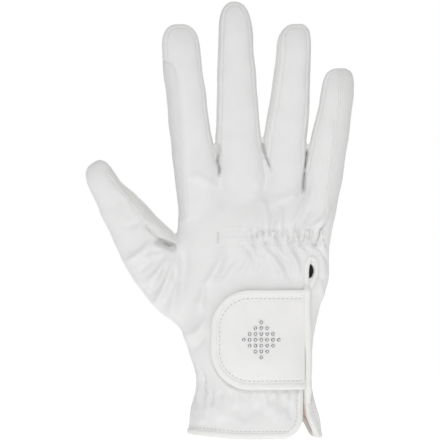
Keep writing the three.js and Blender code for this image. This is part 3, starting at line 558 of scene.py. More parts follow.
# %% Strips between the fingers
# half width at which a strip opens in the crotch, and how much it widens up to where the fingers part
STRIP_OPENS, STRIP_WIDENS = 0.4, 6.5


def add_strips(label, x, z):
    """Strips between the fingers, and the palm's leather where it wraps the tips and outer sides."""
    above = z > FINGERS_FROM
    depth = np.full(len(x), 99.0)
    owner, side = np.zeros(len(x), int), np.zeros(len(x))
    depth[above], owner[above], side[above] = inside_fingers(x[above], z[above])
    tips = np.array([finger[3] + finger[4] for finger in FINGERS])
    insets = np.array(SEAM_INSETS)[owner, (side > 0).astype(int)]
    inset = TIP_INSET + (insets - TIP_INSET) * ease(2, 16, tips[owner] - z)
    band = depth < inset
    strip = STRIP_LOW + owner - (side < 0)
    gap = np.clip(strip - STRIP_LOW, 0, 2)
    low_ends = np.array([line[0][0] for line in SLIT_LINES])[gap]
    line_x = np.choose(gap, [read_rows(line, 1, z) for line in SLIT_LINES])
    reach = STRIP_OPENS + STRIP_WIDENS * np.clip((z - low_ends) / (SLIT_MERGE - low_ends), 0, 1) ** 2
    parted = (z > SLIT_MERGE) | ((np.abs(x - line_x) < reach) & (z > low_ends))
    band &= parted
    between = (strip >= STRIP_LOW) & (strip < STRIP_LOW + 3) & (z < tips[owner] - STRIP_TIP)
    outer = (strip < STRIP_LOW) | (strip >= STRIP_LOW + 3)
    band = np.where(outer, depth < inset, band)
    return np.where(band & between, strip, np.where(band, PALM, label))


print("strips:", len(SLIT_LINES))

# %% Panels on both sides, and on the thumb
# heights from which the outer side panel narrows, at which it would be gone, and at which it is cut off
ULNAR_NARROWS, ULNAR_GONE, ULNAR_TOP = 170, 198, 197
# fullness of the hand's section beyond which a point is on the thumb, and the place of its root
THUMB_OUT, THUMB_LEFT_OF, THUMB_ABOVE = 1.12, -24, 8
# the index finger's side, which the thumb doesn't reach
BESIDE_INDEX_X, BESIDE_INDEX_Z, INDEX_LEANS_FROM = -43.3, 104, 112
# the seam round the thumb's tip, and how it turns about the thumb from its front to its far side
TIP_SEAM_LOW, TIP_SEAM_RISE = -2.5, 9.5
SEAM_TWIST, SEAM_FRONT_Y, SEAM_FAR_Y = 0.34, -3.5, 10.3


def add_sides(label, x, z, off_palm):
    """The reinforcement beside the index finger, and the ribbed panel down the outer side."""
    index_low, index_high = INDEX_SEAM[0][0], INDEX_SEAM[-1][0]
    index_x = np.where((z > index_low) & (z < index_high), read_rows(INDEX_SEAM, 1, z), -99)
    label = np.where((x < index_x) & (off_palm < SIDE_WRAP), INDEX_SIDE, label)
    ulnar_x = np.where(z < KEYHOLE_Z, slit_x(z), read_rows(ULNAR_SEAM, 1, z))
    narrow = np.clip((ULNAR_GONE - z) / (ULNAR_GONE - ULNAR_NARROWS), 0, 1) ** 0.5
    wrap = SIDE_WRAP * np.where(z > ULNAR_NARROWS, narrow, 1)
    return np.where((x > ulnar_x) & (off_palm < wrap) & (z < ULNAR_TOP), ULNAR_SIDE, label)


def thumb_place(points):
    """How far points lie along the thumb and across it."""
    rest = points - THUMB_ROOT
    return rest @ THUMB_ALONG, rest @ THUMB_ACROSS


def add_thumb(label, points, off_palm):
    """The thumb: the back panel runs on over its tip, and its own panel faces the fingers."""
    x, y, z = points.T
    left, right, back, palm = hand_section(z)
    share = np.abs((x - (left + right) / 2) / ((right - left) / 2)) ** HAND_BLUNT
    fullness = share + np.abs(off_palm / np.where(off_palm < 0, back, palm)) ** HAND_BLUNT
    along, across = thumb_place(points)
    beside_index = (x > BESIDE_INDEX_X - np.maximum(0, z - INDEX_LEANS_FROM)) & (z > BESIDE_INDEX_Z)
    thumb = (fullness > THUMB_OUT) & (x < THUMB_LEFT_OF) & (z > THUMB_ABOVE) & ~beside_index
    turned = ease(-1.0, 6.0, off_palm)
    round_the_tip = TIP_SEAM_LOW + TIP_SEAM_RISE * ease(95, 103, along)
    seam = (1 - turned) * read_rows(THUMB_SEAM, 1, along) + turned * round_the_tip
    seam -= SEAM_TWIST * (y - SEAM_FRONT_Y - SEAM_FAR_Y * turned)
    return np.where(thumb, np.where(across > seam, THUMB_FRONT, BACK), label)


print("thumb's tip, mm along and across:", [float(v.round(1)) for v in thumb_place(thumb_middle[-1])])

# %% Cuts, and all rules together
def add_cuts(label, x, y, z, off_palm):
    """What is cut away: the keyhole, the slit, and all below the edge of the cuff."""
    hole = ((x - KEYHOLE_LEFT) / KEYHOLE_WIDTH) ** 2 + ((z - KEYHOLE_Z) / KEYHOLE_HALF_HEIGHT) ** 2 < 1
    hole &= x > KEYHOLE_LEFT
    slit = (x > flap_left(z)) & (x < flap_right(z)) & (z < SLIT_TOP)
    return np.where(((hole | slit) & (off_palm < 0)) | (z < HEM_CUT + hem_at(x, y)), CUT, label)


def panel_at(points):
    """The panel that each point of the skin belongs to."""
    x, y, z = points.T
    off_palm = y - curl_at(z)
    label = np.where(off_palm < 0, BACK, PALM)
    label = add_strips(label, x, z)
    label = add_sides(label, x, z, off_palm)
    label = add_thumb(label, points, off_palm)
    return add_cuts(label, x, y, z, off_palm)


labels = panel_at(skin)
print("points in each panel:", np.bincount(labels, minlength=10).tolist())

# %% Slide the skin to the seams
crossing = edges[labels[edges[:, 0]] != labels[edges[:, 1]]]
near_end, far_end = skin[crossing[:, 0]], skin[crossing[:, 1]]
start_label = labels[crossing[:, 0]]
low, high = np.zeros(len(crossing)), np.ones(len(crossing))
for _ in range(9):
    share = (low + high) / 2
    same = panel_at(near_end + (far_end - near_end) * share[:, None]) == start_label
    low, high = np.where(same, share, low), np.where(same, high, share)
share = (low + high) / 2
crossing_point = near_end + (far_end - near_end) * share[:, None]
mover = np.where(share < 0.5, crossing[:, 0], crossing[:, 1])
distance = np.minimum(share, 1 - share)
order = np.argsort(-distance)
on_seam = np.zeros(len(skin), dtype=bool)
skin[mover[order]] = crossing_point[order]
on_seam[mover] = True
normals = normals_of(skin, triangles)
panel = panel_at(skin[triangles].mean(axis=1))
print("points slid to a seam:", int(on_seam.sum()))

# %% Settle lone triangles
def settled(panel, faces, rounds=3):
    """Panels of triangles, where a lone one at a seam joins the panel of most of its neighbours."""
    sides = np.sort(np.stack([faces[:, [0, 1]], faces[:, [1, 2]], faces[:, [2, 0]]], axis=1), axis=2)
    code = sides[..., 0] * (faces.max() + 1) + sides[..., 1]
    flat = code.ravel()
    order = np.argsort(flat, kind="stable")
    matched = np.full(len(flat), -1)
    alike = flat[order[:-1]] == flat[order[1:]]
    pairs = order[:-1][alike], order[1:][alike]
    matched[pairs[0]], matched[pairs[1]] = pairs[1] // 3, pairs[0] // 3
    matched = matched.reshape(-1, 3)
    for _ in range(rounds):
        around = np.where(matched >= 0, panel[matched], -1)
        lone = (around != panel[:, None]).sum(axis=1) >= 2
        two_alike = np.where(around[:, 0] == around[:, 1], around[:, 0],
                             np.where(around[:, 1] == around[:, 2], around[:, 1],
                                      np.where(around[:, 0] == around[:, 2], around[:, 0], panel)))
        panel = np.where(lone, two_alike, panel)
    return panel


panel = settled(panel, triangles)
print("triangles in each panel:", np.bincount(panel, minlength=10).tolist())

# %% [markdown]
# ## Folds of worn fabric
# A worn glove is never a smooth balloon. Cloth could be simulated, but folds then fall where they
# like, and these sit where seams and elastic hold them. So each fold is a row of a table, drawn as
# a soft ridge or a crease, which later moves the skin along its own normals.

# %% Tables of folds
# x and height of both ends, half width, height: a minus sign makes a crease
BACK_FOLDS = [
    # below the elastic over the knuckles
    (-17.2, 101, -26.5, 81, 2.2, 0.75), (-26, 82, -31, 70, 2.6, 0.6),
    (-12.5, 100.5, -20.5, 84, 1.6, -0.6), (-2.5, 100, -8.5, 86.5, 1.8, 0.6),
    (2, 100, -1, 88, 1.2, -0.5), (7.5, 101, 15, 85, 1.7, 0.8), (11.5, 101, 19, 88, 1.1, -0.6),
    (17.4, 101, 24, 86.5, 1.6, 0.8), (22, 101, 27.5, 93, 1, -0.5),
    # above it, towards the fingers
    (4.1, 128, 5.6, 113, 1.6, 0.5), (8.5, 124, 9.5, 113, 1.2, -0.5), (14, 124, 12.5, 112.5, 1.4, 0.5),
    (26.3, 130, 20.5, 114.5, 1.6, 0.75), (24, 133, 10, 126, 2.4, 0.45), (37, 120, 28.5, 112, 1.4, 0.7),
    (40, 126, 33.5, 112.5, 1.4, 0.7), (32, 123, 25.5, 113, 1.1, -0.6), (31, 136, 27.5, 122, 1.8, 0.5),
    # below the slits between the fingers
    (-35, 141, -22, 134.5, 2.4, 0.35), (-22, 136.5, -16, 128, 2, 0.3), (5, 143, 0, 134, 2.2, 0.35),
    # down the index side to the ball of the thumb
    (-40.9, 107, -43.6, 85, 2.6, 0.8), (-43.6, 87, -44.6, 66, 3, 0.9), (-44, 70, -34.5, 47, 3, 0.7),
    (-39, 100, -40.5, 74, 2.6, -0.7),
    # across the ball of the thumb
    (-46.5, 97, -57, 83, 2, 0.8), (-44.5, 95, -53.5, 71, 1.8, 0.9), (-47, 92, -55.5, 77, 1.2, -0.7),
    (-42.5, 91, -47.5, 72, 1.4, -0.6), (-55.5, 104.5, -68, 94.5, 2, 0.6),
    (-52, 100, -62, 89, 1.3, -0.5),
    # left of the tab
    (-23.5, 66, -35, 54, 2, 0.5), (-24.5, 58, -34, 47.5, 1.6, -0.4), (-24.5, 76, -33, 66.5, 2.6, 0.35),
    # down the outer side
    (33, 84, 37.5, 66, 2.2, 0.5), (31.5, 60, 30.5, 44, 1.8, 0.45), (33.5, 98, 37.5, 86, 1.8, 0.45),
    # wrist and cuff
    (-31.5, 38, -26, 29, 1.4, -0.5), (-11, 18, -4, 10, 3.2, -0.55), (6, 19, 13, 11, 3.2, 0.5),
    (16, 20, 21, 10.5, 2.4, -0.6), (-24, 19.5, -17, 10, 3, 0.5), (-2, 14, 5, 17.5, 2.6, -0.4),
    (-31, 17, -27, 8, 2.4, 0.4), (20.5, 22, 22, 13, 1.6, 0.4), (33.5, 24, 30.5, 10, 1.6, 0.35),
    # web of the thumb
    (-60, 114.5, -50, 106.5, 1.3, -0.7), (-47.5, 100, -60, 96.5, 1.6, 0.55),
    # beside the foot of the tab
    (-30.5, 37, -28.5, 24, 1.2, 0.6), (-27.5, 36, -26, 23, 1.1, -0.6), (-24.8, 34, -22, 22, 1.1, 0.6),
    # web of the thumb, two creases below the elastic, and the thumb
    (-47, 101.5, -55, 103, 1.2, 0.5), (10, 98, 20.5, 82.5, 1, -0.5), (-9.5, 98, -22, 84.5, 1.2, -0.4),
    (-72, 133, -66, 121, 1.6, 0.25), (-60, 118, -70, 112, 2.2, -0.3),
]
PALM_FOLDS = [
    # creases of the palm
    (-30, 96, 24, 108, 1.8, -0.8), (-34, 88, 8, 84, 2, -0.7), (-12, 92, -24, 50, 2.2, -0.8),
    (12, 100, 20, 62, 2.4, 0.6),
    # roots of the fingers
    (-40, 126, -20, 124, 1.3, -0.8), (-18, 128, 4, 128, 1.3, -0.8), (8, 124, 26, 122, 1.3, -0.8),
    (28, 112, 42, 112, 1.3, -0.7),
    # first joints
    (-45, 164, -25, 164, 1.2, -0.6), (-18, 170, 2, 170, 1.2, -0.6), (8, 162, 30, 164, 1.2, -0.6),
    (32, 150, 52, 152, 1.2, -0.6),
    # second joints
    (-48, 190, -28, 190, 1.1, -0.45), (-20, 198, 0, 198, 1.1, -0.45), (12, 188, 32, 190, 1.1, -0.45),
    (36, 172, 54, 173, 1.1, -0.45),
    # wrist
    (-26, 34, 24, 31, 1.5, -0.5), (-24, 25, 26, 26, 1.5, 0.5),
    # thumb and its ball
    (-58, 100, -44, 84, 2, -0.7), (-72, 128, -58, 118, 1.4, -0.6), (-20, 70, -36, 44, 2, 0.6),
]
BACK_GAIN, PALM_GAIN = 2.5, 1.9
print("folds on the back and on the palm:", len(BACK_FOLDS), len(PALM_FOLDS))

# %% Draw the folds
def ridges(x, z, rows):
    """Height of the folds of a table: each is bent a little and fades at both ends."""
    high = np.zeros(len(x))
    for x0, z0, x1, z1, spread, height in rows:
        along_x, along_z = x1 - x0, z1 - z0
        length = math.hypot(along_x, along_z)
        share = ((x - x0) * along_x + (z - z0) * along_z) / length**2
        off = ((x - x0) * along_z - (z - z0) * along_x) / length
        bend = off + 0.06 * length * (4 * share * (1 - share))
        body = ease(-0.12, 0.3, share) * ease(1.12, 0.7, share)
        high += height * body * np.exp(-(bend / spread) ** 2)
    return high


first_fold = ridges(np.array([-21.85]), np.array([91.0]), BACK_FOLDS[:1])
print("first fold at its middle, mm:", first_fold.round(2))

# %% [markdown]
# ## Elastic over the knuckles
# Elastic is sewn in stretched. When it springs back, the fabric between two rows of stitches bunches
# into small teeth, and short folds fan away above and below. A zigzag line gives the teeth: a narrow
# crease follows it, with a puff on either side, and both fade where the elastic ends.

# %% Shirring
SHIRR_Z, SHIRR_REACH, SHIRR_PITCH = 107.6, 4.2, 6.4
TOOTH_DEEP, TOOTH_LEAN, TOOTH_WIDE = 1.3, 0.3, 0.9
PUFF_HIGH, PUFF_OFF, PUFF_WIDE = 1.5, 1.3, 0.7
FAN_UP, FAN_DOWN, FAN_LOW = 1.6, 1.9, 0.35
LEAN_UP, LEAN_DOWN = 0.9, 0.75
# x at which the shirring sets in, is full, starts to fade and is gone
SHIRR_START, SHIRR_FULL, SHIRR_FADES, SHIRR_GONE = -12, 2, 36.5, 40.5


def zigzag_at(phase):
    """A zigzag between minus one and one, with blunt corners."""
    return np.sin(math.pi / 2 * np.clip(1.3 * (4 * np.abs(phase - np.floor(phase + 0.5)) - 1), -1, 1))


def shirring(x, z):
    """Teeth of fabric between two lines of elastic, with short folds fanning above and below."""
    x = x + 0.5 * np.sin(x * 0.31) + 0.3 * np.sin(x * 0.83 + 1)
    phase = x / SHIRR_PITCH
    zigzag = zigzag_at(phase)
    slope = SHIRR_REACH * (zigzag_at(phase + 0.1 / SHIRR_PITCH) - zigzag) / 0.1
    off = (z - SHIRR_Z - SHIRR_REACH * zigzag) / np.hypot(1, slope)
    up = (z - SHIRR_Z) / SHIRR_REACH
    falling = np.tanh(6 * (phase - np.floor(phase + 0.5)))
    deep = TOOTH_DEEP - TOOTH_LEAN * falling
    teeth = -deep * np.exp(-(off / TOOTH_WIDE) ** 2) * ease(1.5, 1.0, np.abs(up))
    puffs = PUFF_HIGH * np.exp(-((np.abs(off) - PUFF_OFF) / PUFF_WIDE) ** 2) * ease(1.5, 0.7, np.abs(up))
    leaning = phase - LEAN_UP * ease(16, 38, x) * np.maximum(z - SHIRR_Z - SHIRR_REACH, 0) / SHIRR_PITCH
    slanting = phase + LEAN_DOWN * np.minimum(z - SHIRR_Z + SHIRR_REACH, 0) / SHIRR_PITCH
    peak = (0.5 + 0.5 * np.cos(2 * math.pi * (leaning - 0.5))) ** 3
    foot = (0.5 + 0.5 * np.cos(2 * math.pi * slanting)) ** 3
    fan_up = FAN_UP * (FAN_LOW - peak) * ease(0.8, 1.3, up) * ease(3.6, 1.2, up)
    fan_down = FAN_DOWN * (FAN_LOW - foot) * ease(-0.8, -1.3, up) * ease(-4.0, -1.2, up)
    waist = -0.5 * np.exp(-(up / 1.5) ** 2)
    amount = ease(SHIRR_START, SHIRR_FULL, x) * ease(SHIRR_GONE, SHIRR_FADES, x)
    return amount * (teeth + puffs + fan_up + fan_down + waist)


print("deepest tooth, mm:", shirring(skin[:, 0], skin[:, 2]).min().round(2))

# %% [markdown]
# ## Gathers at the wrist, and soft unevenness
# A second elastic draws the wrist in beneath the tab. Its gathers are waves along it that shift a
# little above and below the line. The rest of the skin gets slow, shallow waves: without them the
# light would slide over it as over plastic.

# %% Gathers and waves
WRIST_Z, WRIST_PITCH, WRIST_REACH = 27.0, 5.2, 7.0


def gathers(x, z):
    """Wrist gathers along an elastic that runs on beneath the tab."""
    x = x + 0.6 * np.sin(x * 0.27)
    up = (z - WRIST_Z) / WRIST_REACH
    wave = np.cos(2 * math.pi * x / WRIST_PITCH + 0.8 * np.tanh(2 * up))
    zigzag = np.cos(2 * math.pi * x / WRIST_PITCH * 2) * np.exp(-(up * 2.2) ** 2)
    beside_tab = ease(26, 20, x) * (1 + 1.0 * ease(-18, -25, x))
    return beside_tab * (1.0 * wave * np.exp(-(up**2)) - 0.3 * zigzag - 0.5 * np.exp(-(up * 1.5) ** 2))


def waves(points):
    """Faint unevenness of worn fabric."""
    x, y, z = points.T
    return (0.16 * np.sin(0.21 * x + 0.13 * z + 0.6) * np.sin(0.17 * z - 0.11 * x)
            + 0.12 * np.sin(0.38 * x - 0.09 * z + 0.2 * y) * np.sin(0.29 * z + 1.3)
            + 0.05 * np.sin(0.9 * x + 0.4 * z) * np.sin(0.8 * z - 0.5 * y))


print("waves, mm:", np.abs(waves(skin)).max().round(2))

# %% [markdown]
# ## Slits between the fingers
# Where two fingers lie side by side, the fabric dips into a narrow dark slit that runs on below the
# crotch. A gap cut through the skin would show the lining, so the slit is pressed in: a valley with
# its own width at either end. The web of the thumb has a short, wider pocket of the same kind.

# %% Slits and pocket
# half width at the foot and at the top, how late it changes, and depth, of the slits between the fingers
SLITS = [(0.8, 2.5, 2.2, 5.0), (0.85, 1.2, 1.0, 4.8), (1.25, 0.75, 0.6, 5.6)]
# middle, direction, half length, half width and depth of the pocket in the web of the thumb
WEB_POCKET = (-47.6, 103.6, -0.42, 5.0, 1.9, 6.5)


def pressed(x, z):
    """Depth of the slits between the fingers and of the pocket beside the thumb."""
    deep = np.zeros(len(x))
    for line, (foot_half, top_half, late, most) in zip(SLIT_LINES, SLITS):
        foot, top = line[0][0], line[-1][0]
        share = np.clip((z - foot) / (top - foot), 0, 1)
        away = np.abs(x - read_rows(line, 1, z)) / (foot_half + (top_half - foot_half) * share**late)
        ends = ease(foot - 0.6, foot + 3.0, z) * ease(top - 1.0, top - 5.0, z)
        deep = np.maximum(deep, most * ends * np.maximum(0, 1 - away))
    middle_x, middle_z, turn, half_length, half_width, most = WEB_POCKET
    along = (x - middle_x) * math.cos(turn) + (z - middle_z) * math.sin(turn)
    across = (z - middle_z) * math.cos(turn) - (x - middle_x) * math.sin(turn)
    return deep + most * np.exp(-(along / half_length) ** 4 - (across / half_width) ** 4)


pressed_in = pressed(skin[:, 0], skin[:, 2]) * ease(2.0, -1.0, skin[:, 1] - curl_at(skin[:, 2]))
print("deepest slit, mm:", pressed_in.max().round(1))

# %% [markdown]
# ## All relief together
# The folds of the back show on the back alone, and those of the palm on the palm. Under the tab, at
# the slit and at the hem the skin stays calm, because stiff layers are sewn on there.

# %% Add up the relief
TAB_LEFT, TAB_LOW, TAB_HIGH = -23.6, 26.5, 79.5
x, y, z = skin.T
front_share = ease(0.0, -0.5, normals[:, 1])
palm_share = ease(0.0, 0.5, normals[:, 1])
under_tab = ease(TAB_LEFT - 4, TAB_LEFT - 1, x) * ease(TAB_LOW - 4, TAB_LOW, z)
under_tab = under_tab * ease(TAB_HIGH + 4, TAB_HIGH, z) * ease(slit_x(z) + 3, slit_x(z) + 1, x)
near_slit = ease(7, 3.5, np.abs(x - slit_x(z))) * ease(102, 98, z)
near_hem = ease(8, 3.5, z - hem_at(x, y))
calm = (1 - under_tab) * (1 - near_slit) * (1 - near_hem)
relief = front_share * calm * (BACK_GAIN * ridges(x, z, BACK_FOLDS) + shirring(x, z) + gathers(x, z))
relief += palm_share * (1 - near_hem) * PALM_GAIN * ridges(x, z, PALM_FOLDS)
relief += waves(skin) * (1 - 0.8 * near_hem)
print("relief, mm:", relief.min().round(2), "to", relief.max().round(2))

# %% [markdown]
# ## Seams that pull in
# A seam pulls the fabric in and lifts a soft roll on either side. The distance from every point to
# the nearest seam gives both: a narrow groove at the line and a low swell a millimetre beside it.
# A bump in the finish could draw the same line, but edges and shadows wouldn't follow it.

# %% Find the sewn seams
GROOVE, GROOVE_WIDE = 0.2, 0.5
SWELL, SWELL_AT, SWELL_WIDE = 0.14, 1.3, 0.6
SEAM_REACH, SEAM_CELL = 3.5, 4
# height up to which the foot of the index side panel isn't sewn down, and room below a strip's tip
INDEX_FOOT_TOP, STRIP_TIP_ROOM = 119, 0.8


def seam_edges(panel, faces):
    """Edges between two panels, and which panels they part."""
    sides = np.sort(np.concatenate([faces[:, [0, 1]], faces[:, [1, 2]], faces[:, [2, 0]]]), axis=1)
    owner = np.tile(panel, 3)
    order = np.lexsort((sides[:, 1], sides[:, 0]))
    sides, owner = sides[order], owner[order]
    pair = (sides[:-1] == sides[1:]).all(axis=1) & (owner[:-1] != owner[1:])
    return sides[:-1][pair], np.sort(np.stack([owner[:-1][pair], owner[1:][pair]], 1), axis=1)


seam_lines, seam_panels = seam_edges(panel, triangles)
sewn = seam_panels[:, 1] != CUT
middle_of = skin[seam_lines].mean(axis=1)
foot_of_index_panel = (seam_panels == [BACK, INDEX_SIDE]).all(axis=1) & (middle_of[:, 2] < INDEX_FOOT_TOP)
tip_heights = np.array([finger[3] + finger[4] for finger in FINGERS])
finger_tips = np.array([finger[2] for finger in FINGERS])
nearest_tip = np.abs(middle_of[:, :1] - finger_tips).argmin(axis=1)
is_strip = (seam_panels[:, 1] >= STRIP_LOW) & (seam_panels[:, 1] < THUMB_FRONT)
strip_end = (seam_panels[:, 0] == PALM) & is_strip
strip_end &= middle_of[:, 2] > tip_heights[nearest_tip] - STRIP_TIP - STRIP_TIP_ROOM
sewn &= ~foot_of_index_panel & ~strip_end
print("sewn edges:", int(sewn.sum()), "of", len(sewn))

# %% Measure how far the seams are
seam_points = np.unique(seam_lines[sewn])
seam_tree = KDTree(len(seam_points))
for number, point in enumerate(skin[seam_points]):
    seam_tree.insert(point, number)
seam_tree.balance()
# only points in cells beside a seam are measured, which saves most of the time
seam_away = np.full(len(skin), SEAM_REACH)
seam_cells = {tuple(cell) for cell in np.floor(skin[seam_points] / SEAM_CELL).astype(int)}
steps = (-1, 0, 1)
around = {(a + i, b + j, c + k) for a, b, c in seam_cells for i in steps for j in steps for k in steps}
cells = np.floor(skin / SEAM_CELL).astype(int)
for number in [n for n, cell in enumerate(map(tuple, cells)) if cell in around]:
    seam_away[number] = min(seam_tree.find(skin[number])[2], SEAM_REACH)
print("points near a seam:", int((seam_away < SEAM_REACH).sum()))

# %% Press the seams in
relief -= GROOVE * np.exp(-(seam_away / GROOVE_WIDE) ** 2)
relief += SWELL * np.exp(-((seam_away - SWELL_AT) / SWELL_WIDE) ** 2)
skin_out = skin + normals * relief[:, None]
skin_out[:, 1] += pressed_in
skin_out = relaxed(skin_out, edges, 0.3 * (~on_seam), 1)
normals = normals_of(skin_out, triangles)
print("seam points:", len(seam_points), "sewn length, mm:",
      round(float(np.linalg.norm(np.diff(skin[seam_lines[sewn]], axis=1), axis=2).sum())))

# %% [markdown]
# ## Finishes
# A photograph of leather would be the quickest finish, but it needs its own picture and fits one
# size. These are procedural: noise mottles the tone between two near whites, and bumps give nap,
# grain or ribs. A few helpers do it for every finish, so a finish is one call with its own sizes.

# %% Helpers for finishes
def finish_of(name, tone, rough, sheen=0.0, coat=0.0):
    """A material with a plain shader, the shader, and the place on the object."""
    made = bpy.data.materials.new(name)
    made.use_nodes = True
    shader = made.node_tree.nodes["Principled BSDF"]
    plain = {"Base Color": (*tone, 1), "Roughness": rough, "Sheen Weight": sheen, "Sheen Roughness": 0.5,
             "Coat Weight": coat, "Specular IOR Level": 0.35}
    for socket, value in plain.items():
        shader.inputs[socket].default_value = value
    return made, shader, node(made.node_tree, "TexCoord", {}).outputs["Object"]


def noise_of(made, where, scale, detail=3.0):
    """Soft noise, with about as many spots to the metre as its scale."""
    inputs = {"Vector": where, "Scale": scale, "Detail": detail}
    return node(made.node_tree, "TexNoise", inputs).outputs["Fac"]


def grain_of(made, where, scale):
    """Pebbles of leather: rounded cells with narrow creases."""
    cells = node(made.node_tree, "TexVoronoi", {"Vector": where, "Scale": scale}, feature="SMOOTH_F1")
    return cells.outputs["Distance"]


def ribs_of(made, where, pitch, direction, distort=0.0):
    """Ribs at a pitch in metres: this node's wave repeats after 2 pi / 20, divided by its scale."""
    inputs = {"Vector": where, "Scale": 2 * math.pi / 20 / pitch, "Distortion": distort, "Detail": 1.0}
    return node(made.node_tree, "TexWave", inputs, bands_direction=direction).outputs["Fac"]


def raised(made, shader, heights):
    """Chains bumps of (height, strength, depth in millimetres) into the shader."""
    normal = None
    for height, strength, deep in heights:
        inputs = {"Height": height, "Strength": strength, "Distance": deep * MM}
        if normal:
            inputs["Normal"] = normal
        normal = node(made.node_tree, "Bump", inputs).outputs["Normal"]
    made.node_tree.links.new(normal, shader.inputs["Normal"])


def ranged(made, value, low, high, socket):
    """The middle of a noise, spread over a range of the shader's socket."""
    inputs = {"Value": value, "From Min": 0.3, "From Max": 0.7, "To Min": low, "To Max": high}
    made.node_tree.links.new(node(made.node_tree, "MapRange", inputs).outputs["Result"], socket)


def toned(made, shader, value, first, second, start=0.3, end=0.7):
    """Base colour between two tones, by a value."""
    ramp = node(made.node_tree, "ValToRGB", {"Fac": value})
    for stop, at, tone in zip(ramp.color_ramp.elements, (start, end), (first, second)):
        stop.position, stop.color = at, (*tone, 1)
    made.node_tree.links.new(ramp.outputs["Color"], shader.inputs["Base Color"])


def heights_of(made, place, bumps):
    """Bumps of a finish from rows of a maker, its sizes, strength and depth in millimetres."""
    return [(maker(made, place, *sizes), strength, deep) for maker, sizes, strength, deep in bumps]


def finish(name, dark, light, rough, mottle, bumps, gloss=None, sheen=0.0, coat=0.0):
    """A finish mottled between two tones, with its bumps and, if given, an uneven gloss."""
    middle = [(first + second) / 2 for first, second in zip(dark, light)]
    made, shader, place = finish_of(name, middle, rough, sheen, coat)
    toned(made, shader, noise_of(made, place, *mottle), dark, light)
    if gloss:
        scale, low, high = gloss
        ranged(made, noise_of(made, place, scale), low, high, shader.inputs["Roughness"])
    raised(made, shader, heights_of(made, place, bumps))
    return made


print("kinds of relief:", [maker.__name__ for maker in (noise_of, grain_of, ribs_of)])

# %% [markdown]
# ## Suede of the back
# The back is a matt synthetic suede: nearly flat white, with a nap too fine to see and slow changes
# of gloss where it was brushed. The patch beside the index finger is the same stuff, with a darker
# tone that is painted shade of the turned-away left edge, which makes its rounded top visible. Velvet sheen
# lifts the edges a little.

# %% Suede
NAP = [(noise_of, (1500, 2), 0.35, 0.12), (noise_of, (320, 3), 0.3, 0.2)]


def suede(name, dark, light):
    """Matt suede with a fine nap, between two greys that are the least bit warm."""
    return finish(name, (dark, dark, dark - 0.003), (light, light, light - 0.003), 0.72, (70, 4), NAP,
                  gloss=(160, 0.64, 0.8), sheen=0.25)


back_suede = suede("back_suede", 0.765, 0.8)
# the index side panel's darker tone is painted shade, where the glove's left edge turns away
shaded_side_suede = suede("shaded_side_suede", 0.715, 0.745)
print("suedes:", back_suede.name, shaded_side_suede.name)

# %% [markdown]
# ## Ribbed knit of the outer side
# The outer side stretches, so it is knit in fine upright ribs. The ribs have to follow the panel
# round the hand, so they are counted along a slanting direction, x and y added up less a share of
# the height. They fade in above the keyhole, where the real panel changes from plain to ribbed.

# %% Ribbed knit
RIB_PITCH, RIB_WANDER, KNIT_FROM, KNIT_FULL = 1.3, 2.2, 104.0, 122.0
ROUND_THE_SIDE = (1, 1, -0.17)
ribbed_knit, shader, place = finish_of("ribbed_knit", (0.78, 0.78, 0.775), 0.78, sheen=0.3)
knit = ribbed_knit.node_tree
round_it = node(knit, "VectorMath", {0: place, 1: ROUND_THE_SIDE}, operation="DOT_PRODUCT").outputs["Value"]
side_height = node(knit, "SeparateXYZ", {0: place}).outputs["Z"]
side_place = node(knit, "CombineXYZ", {"X": round_it, "Z": side_height}).outputs["Vector"]
rib_height = ribs_of(ribbed_knit, side_place, RIB_PITCH * MM, "X", RIB_WANDER)
knit_range = {"Value": side_height, "From Min": KNIT_FROM * MM, "From Max": KNIT_FULL * MM}
knit_share = node(knit, "MapRange", knit_range).outputs["Result"]
knit_height = node(knit, "Math", {0: rib_height, 1: knit_share}, operation="MULTIPLY").outputs["Value"]
toned(ribbed_knit, shader, knit_height, (0.8, 0.8, 0.795), (0.72, 0.72, 0.715), 0.05, 0.9)
raised(ribbed_knit, shader, [(knit_height, 0.6, 0.2), *heights_of(ribbed_knit, place, NAP)])
print("rib pitch, mm:", RIB_PITCH)

# %% [markdown]
# ## Leathers
# Three leathers are sewn in. The palm's is grained, with patches of more and less gloss. The trim of
# hem, slit and tab is smooth, warm and a little coated. The thumb's own panel has soft slanting
# creases, because it folds with every grip, and a darker tone that is painted shade where it turns to the
# palm side.

# %% Leathers
palm_leather = finish("palm_leather", (0.79, 0.786, 0.777), (0.83, 0.828, 0.82), 0.55, (90, 4),
                      [(grain_of, (950,), 0.5, 0.14), (noise_of, (260, 3), 0.3, 0.2)],
                      gloss=(120, 0.46, 0.64), sheen=0.1)
trim_leather = finish("trim_leather", (0.81, 0.806, 0.792), (0.84, 0.837, 0.826), 0.5, (110, 4),
                      [(grain_of, (1300,), 0.3, 0.08), (noise_of, (380, 3), 0.25, 0.15)],
                      gloss=(200, 0.42, 0.58), sheen=0.1, coat=0.05)
# the thumb panel's darker tone is painted shade, where it turns away to the palm side
shaded_thumb_leather = finish("shaded_thumb_leather", (0.745, 0.74, 0.727), (0.79, 0.786, 0.776), 0.55, (110, 4),
                       [(ribs_of, (1.5 * MM, "DIAGONAL", 2.0), 0.5, 0.25), (grain_of, (950,), 0.4, 0.12)],
                       sheen=0.1)
print("leathers:", palm_leather.name, trim_leather.name, shaded_thumb_leather.name)
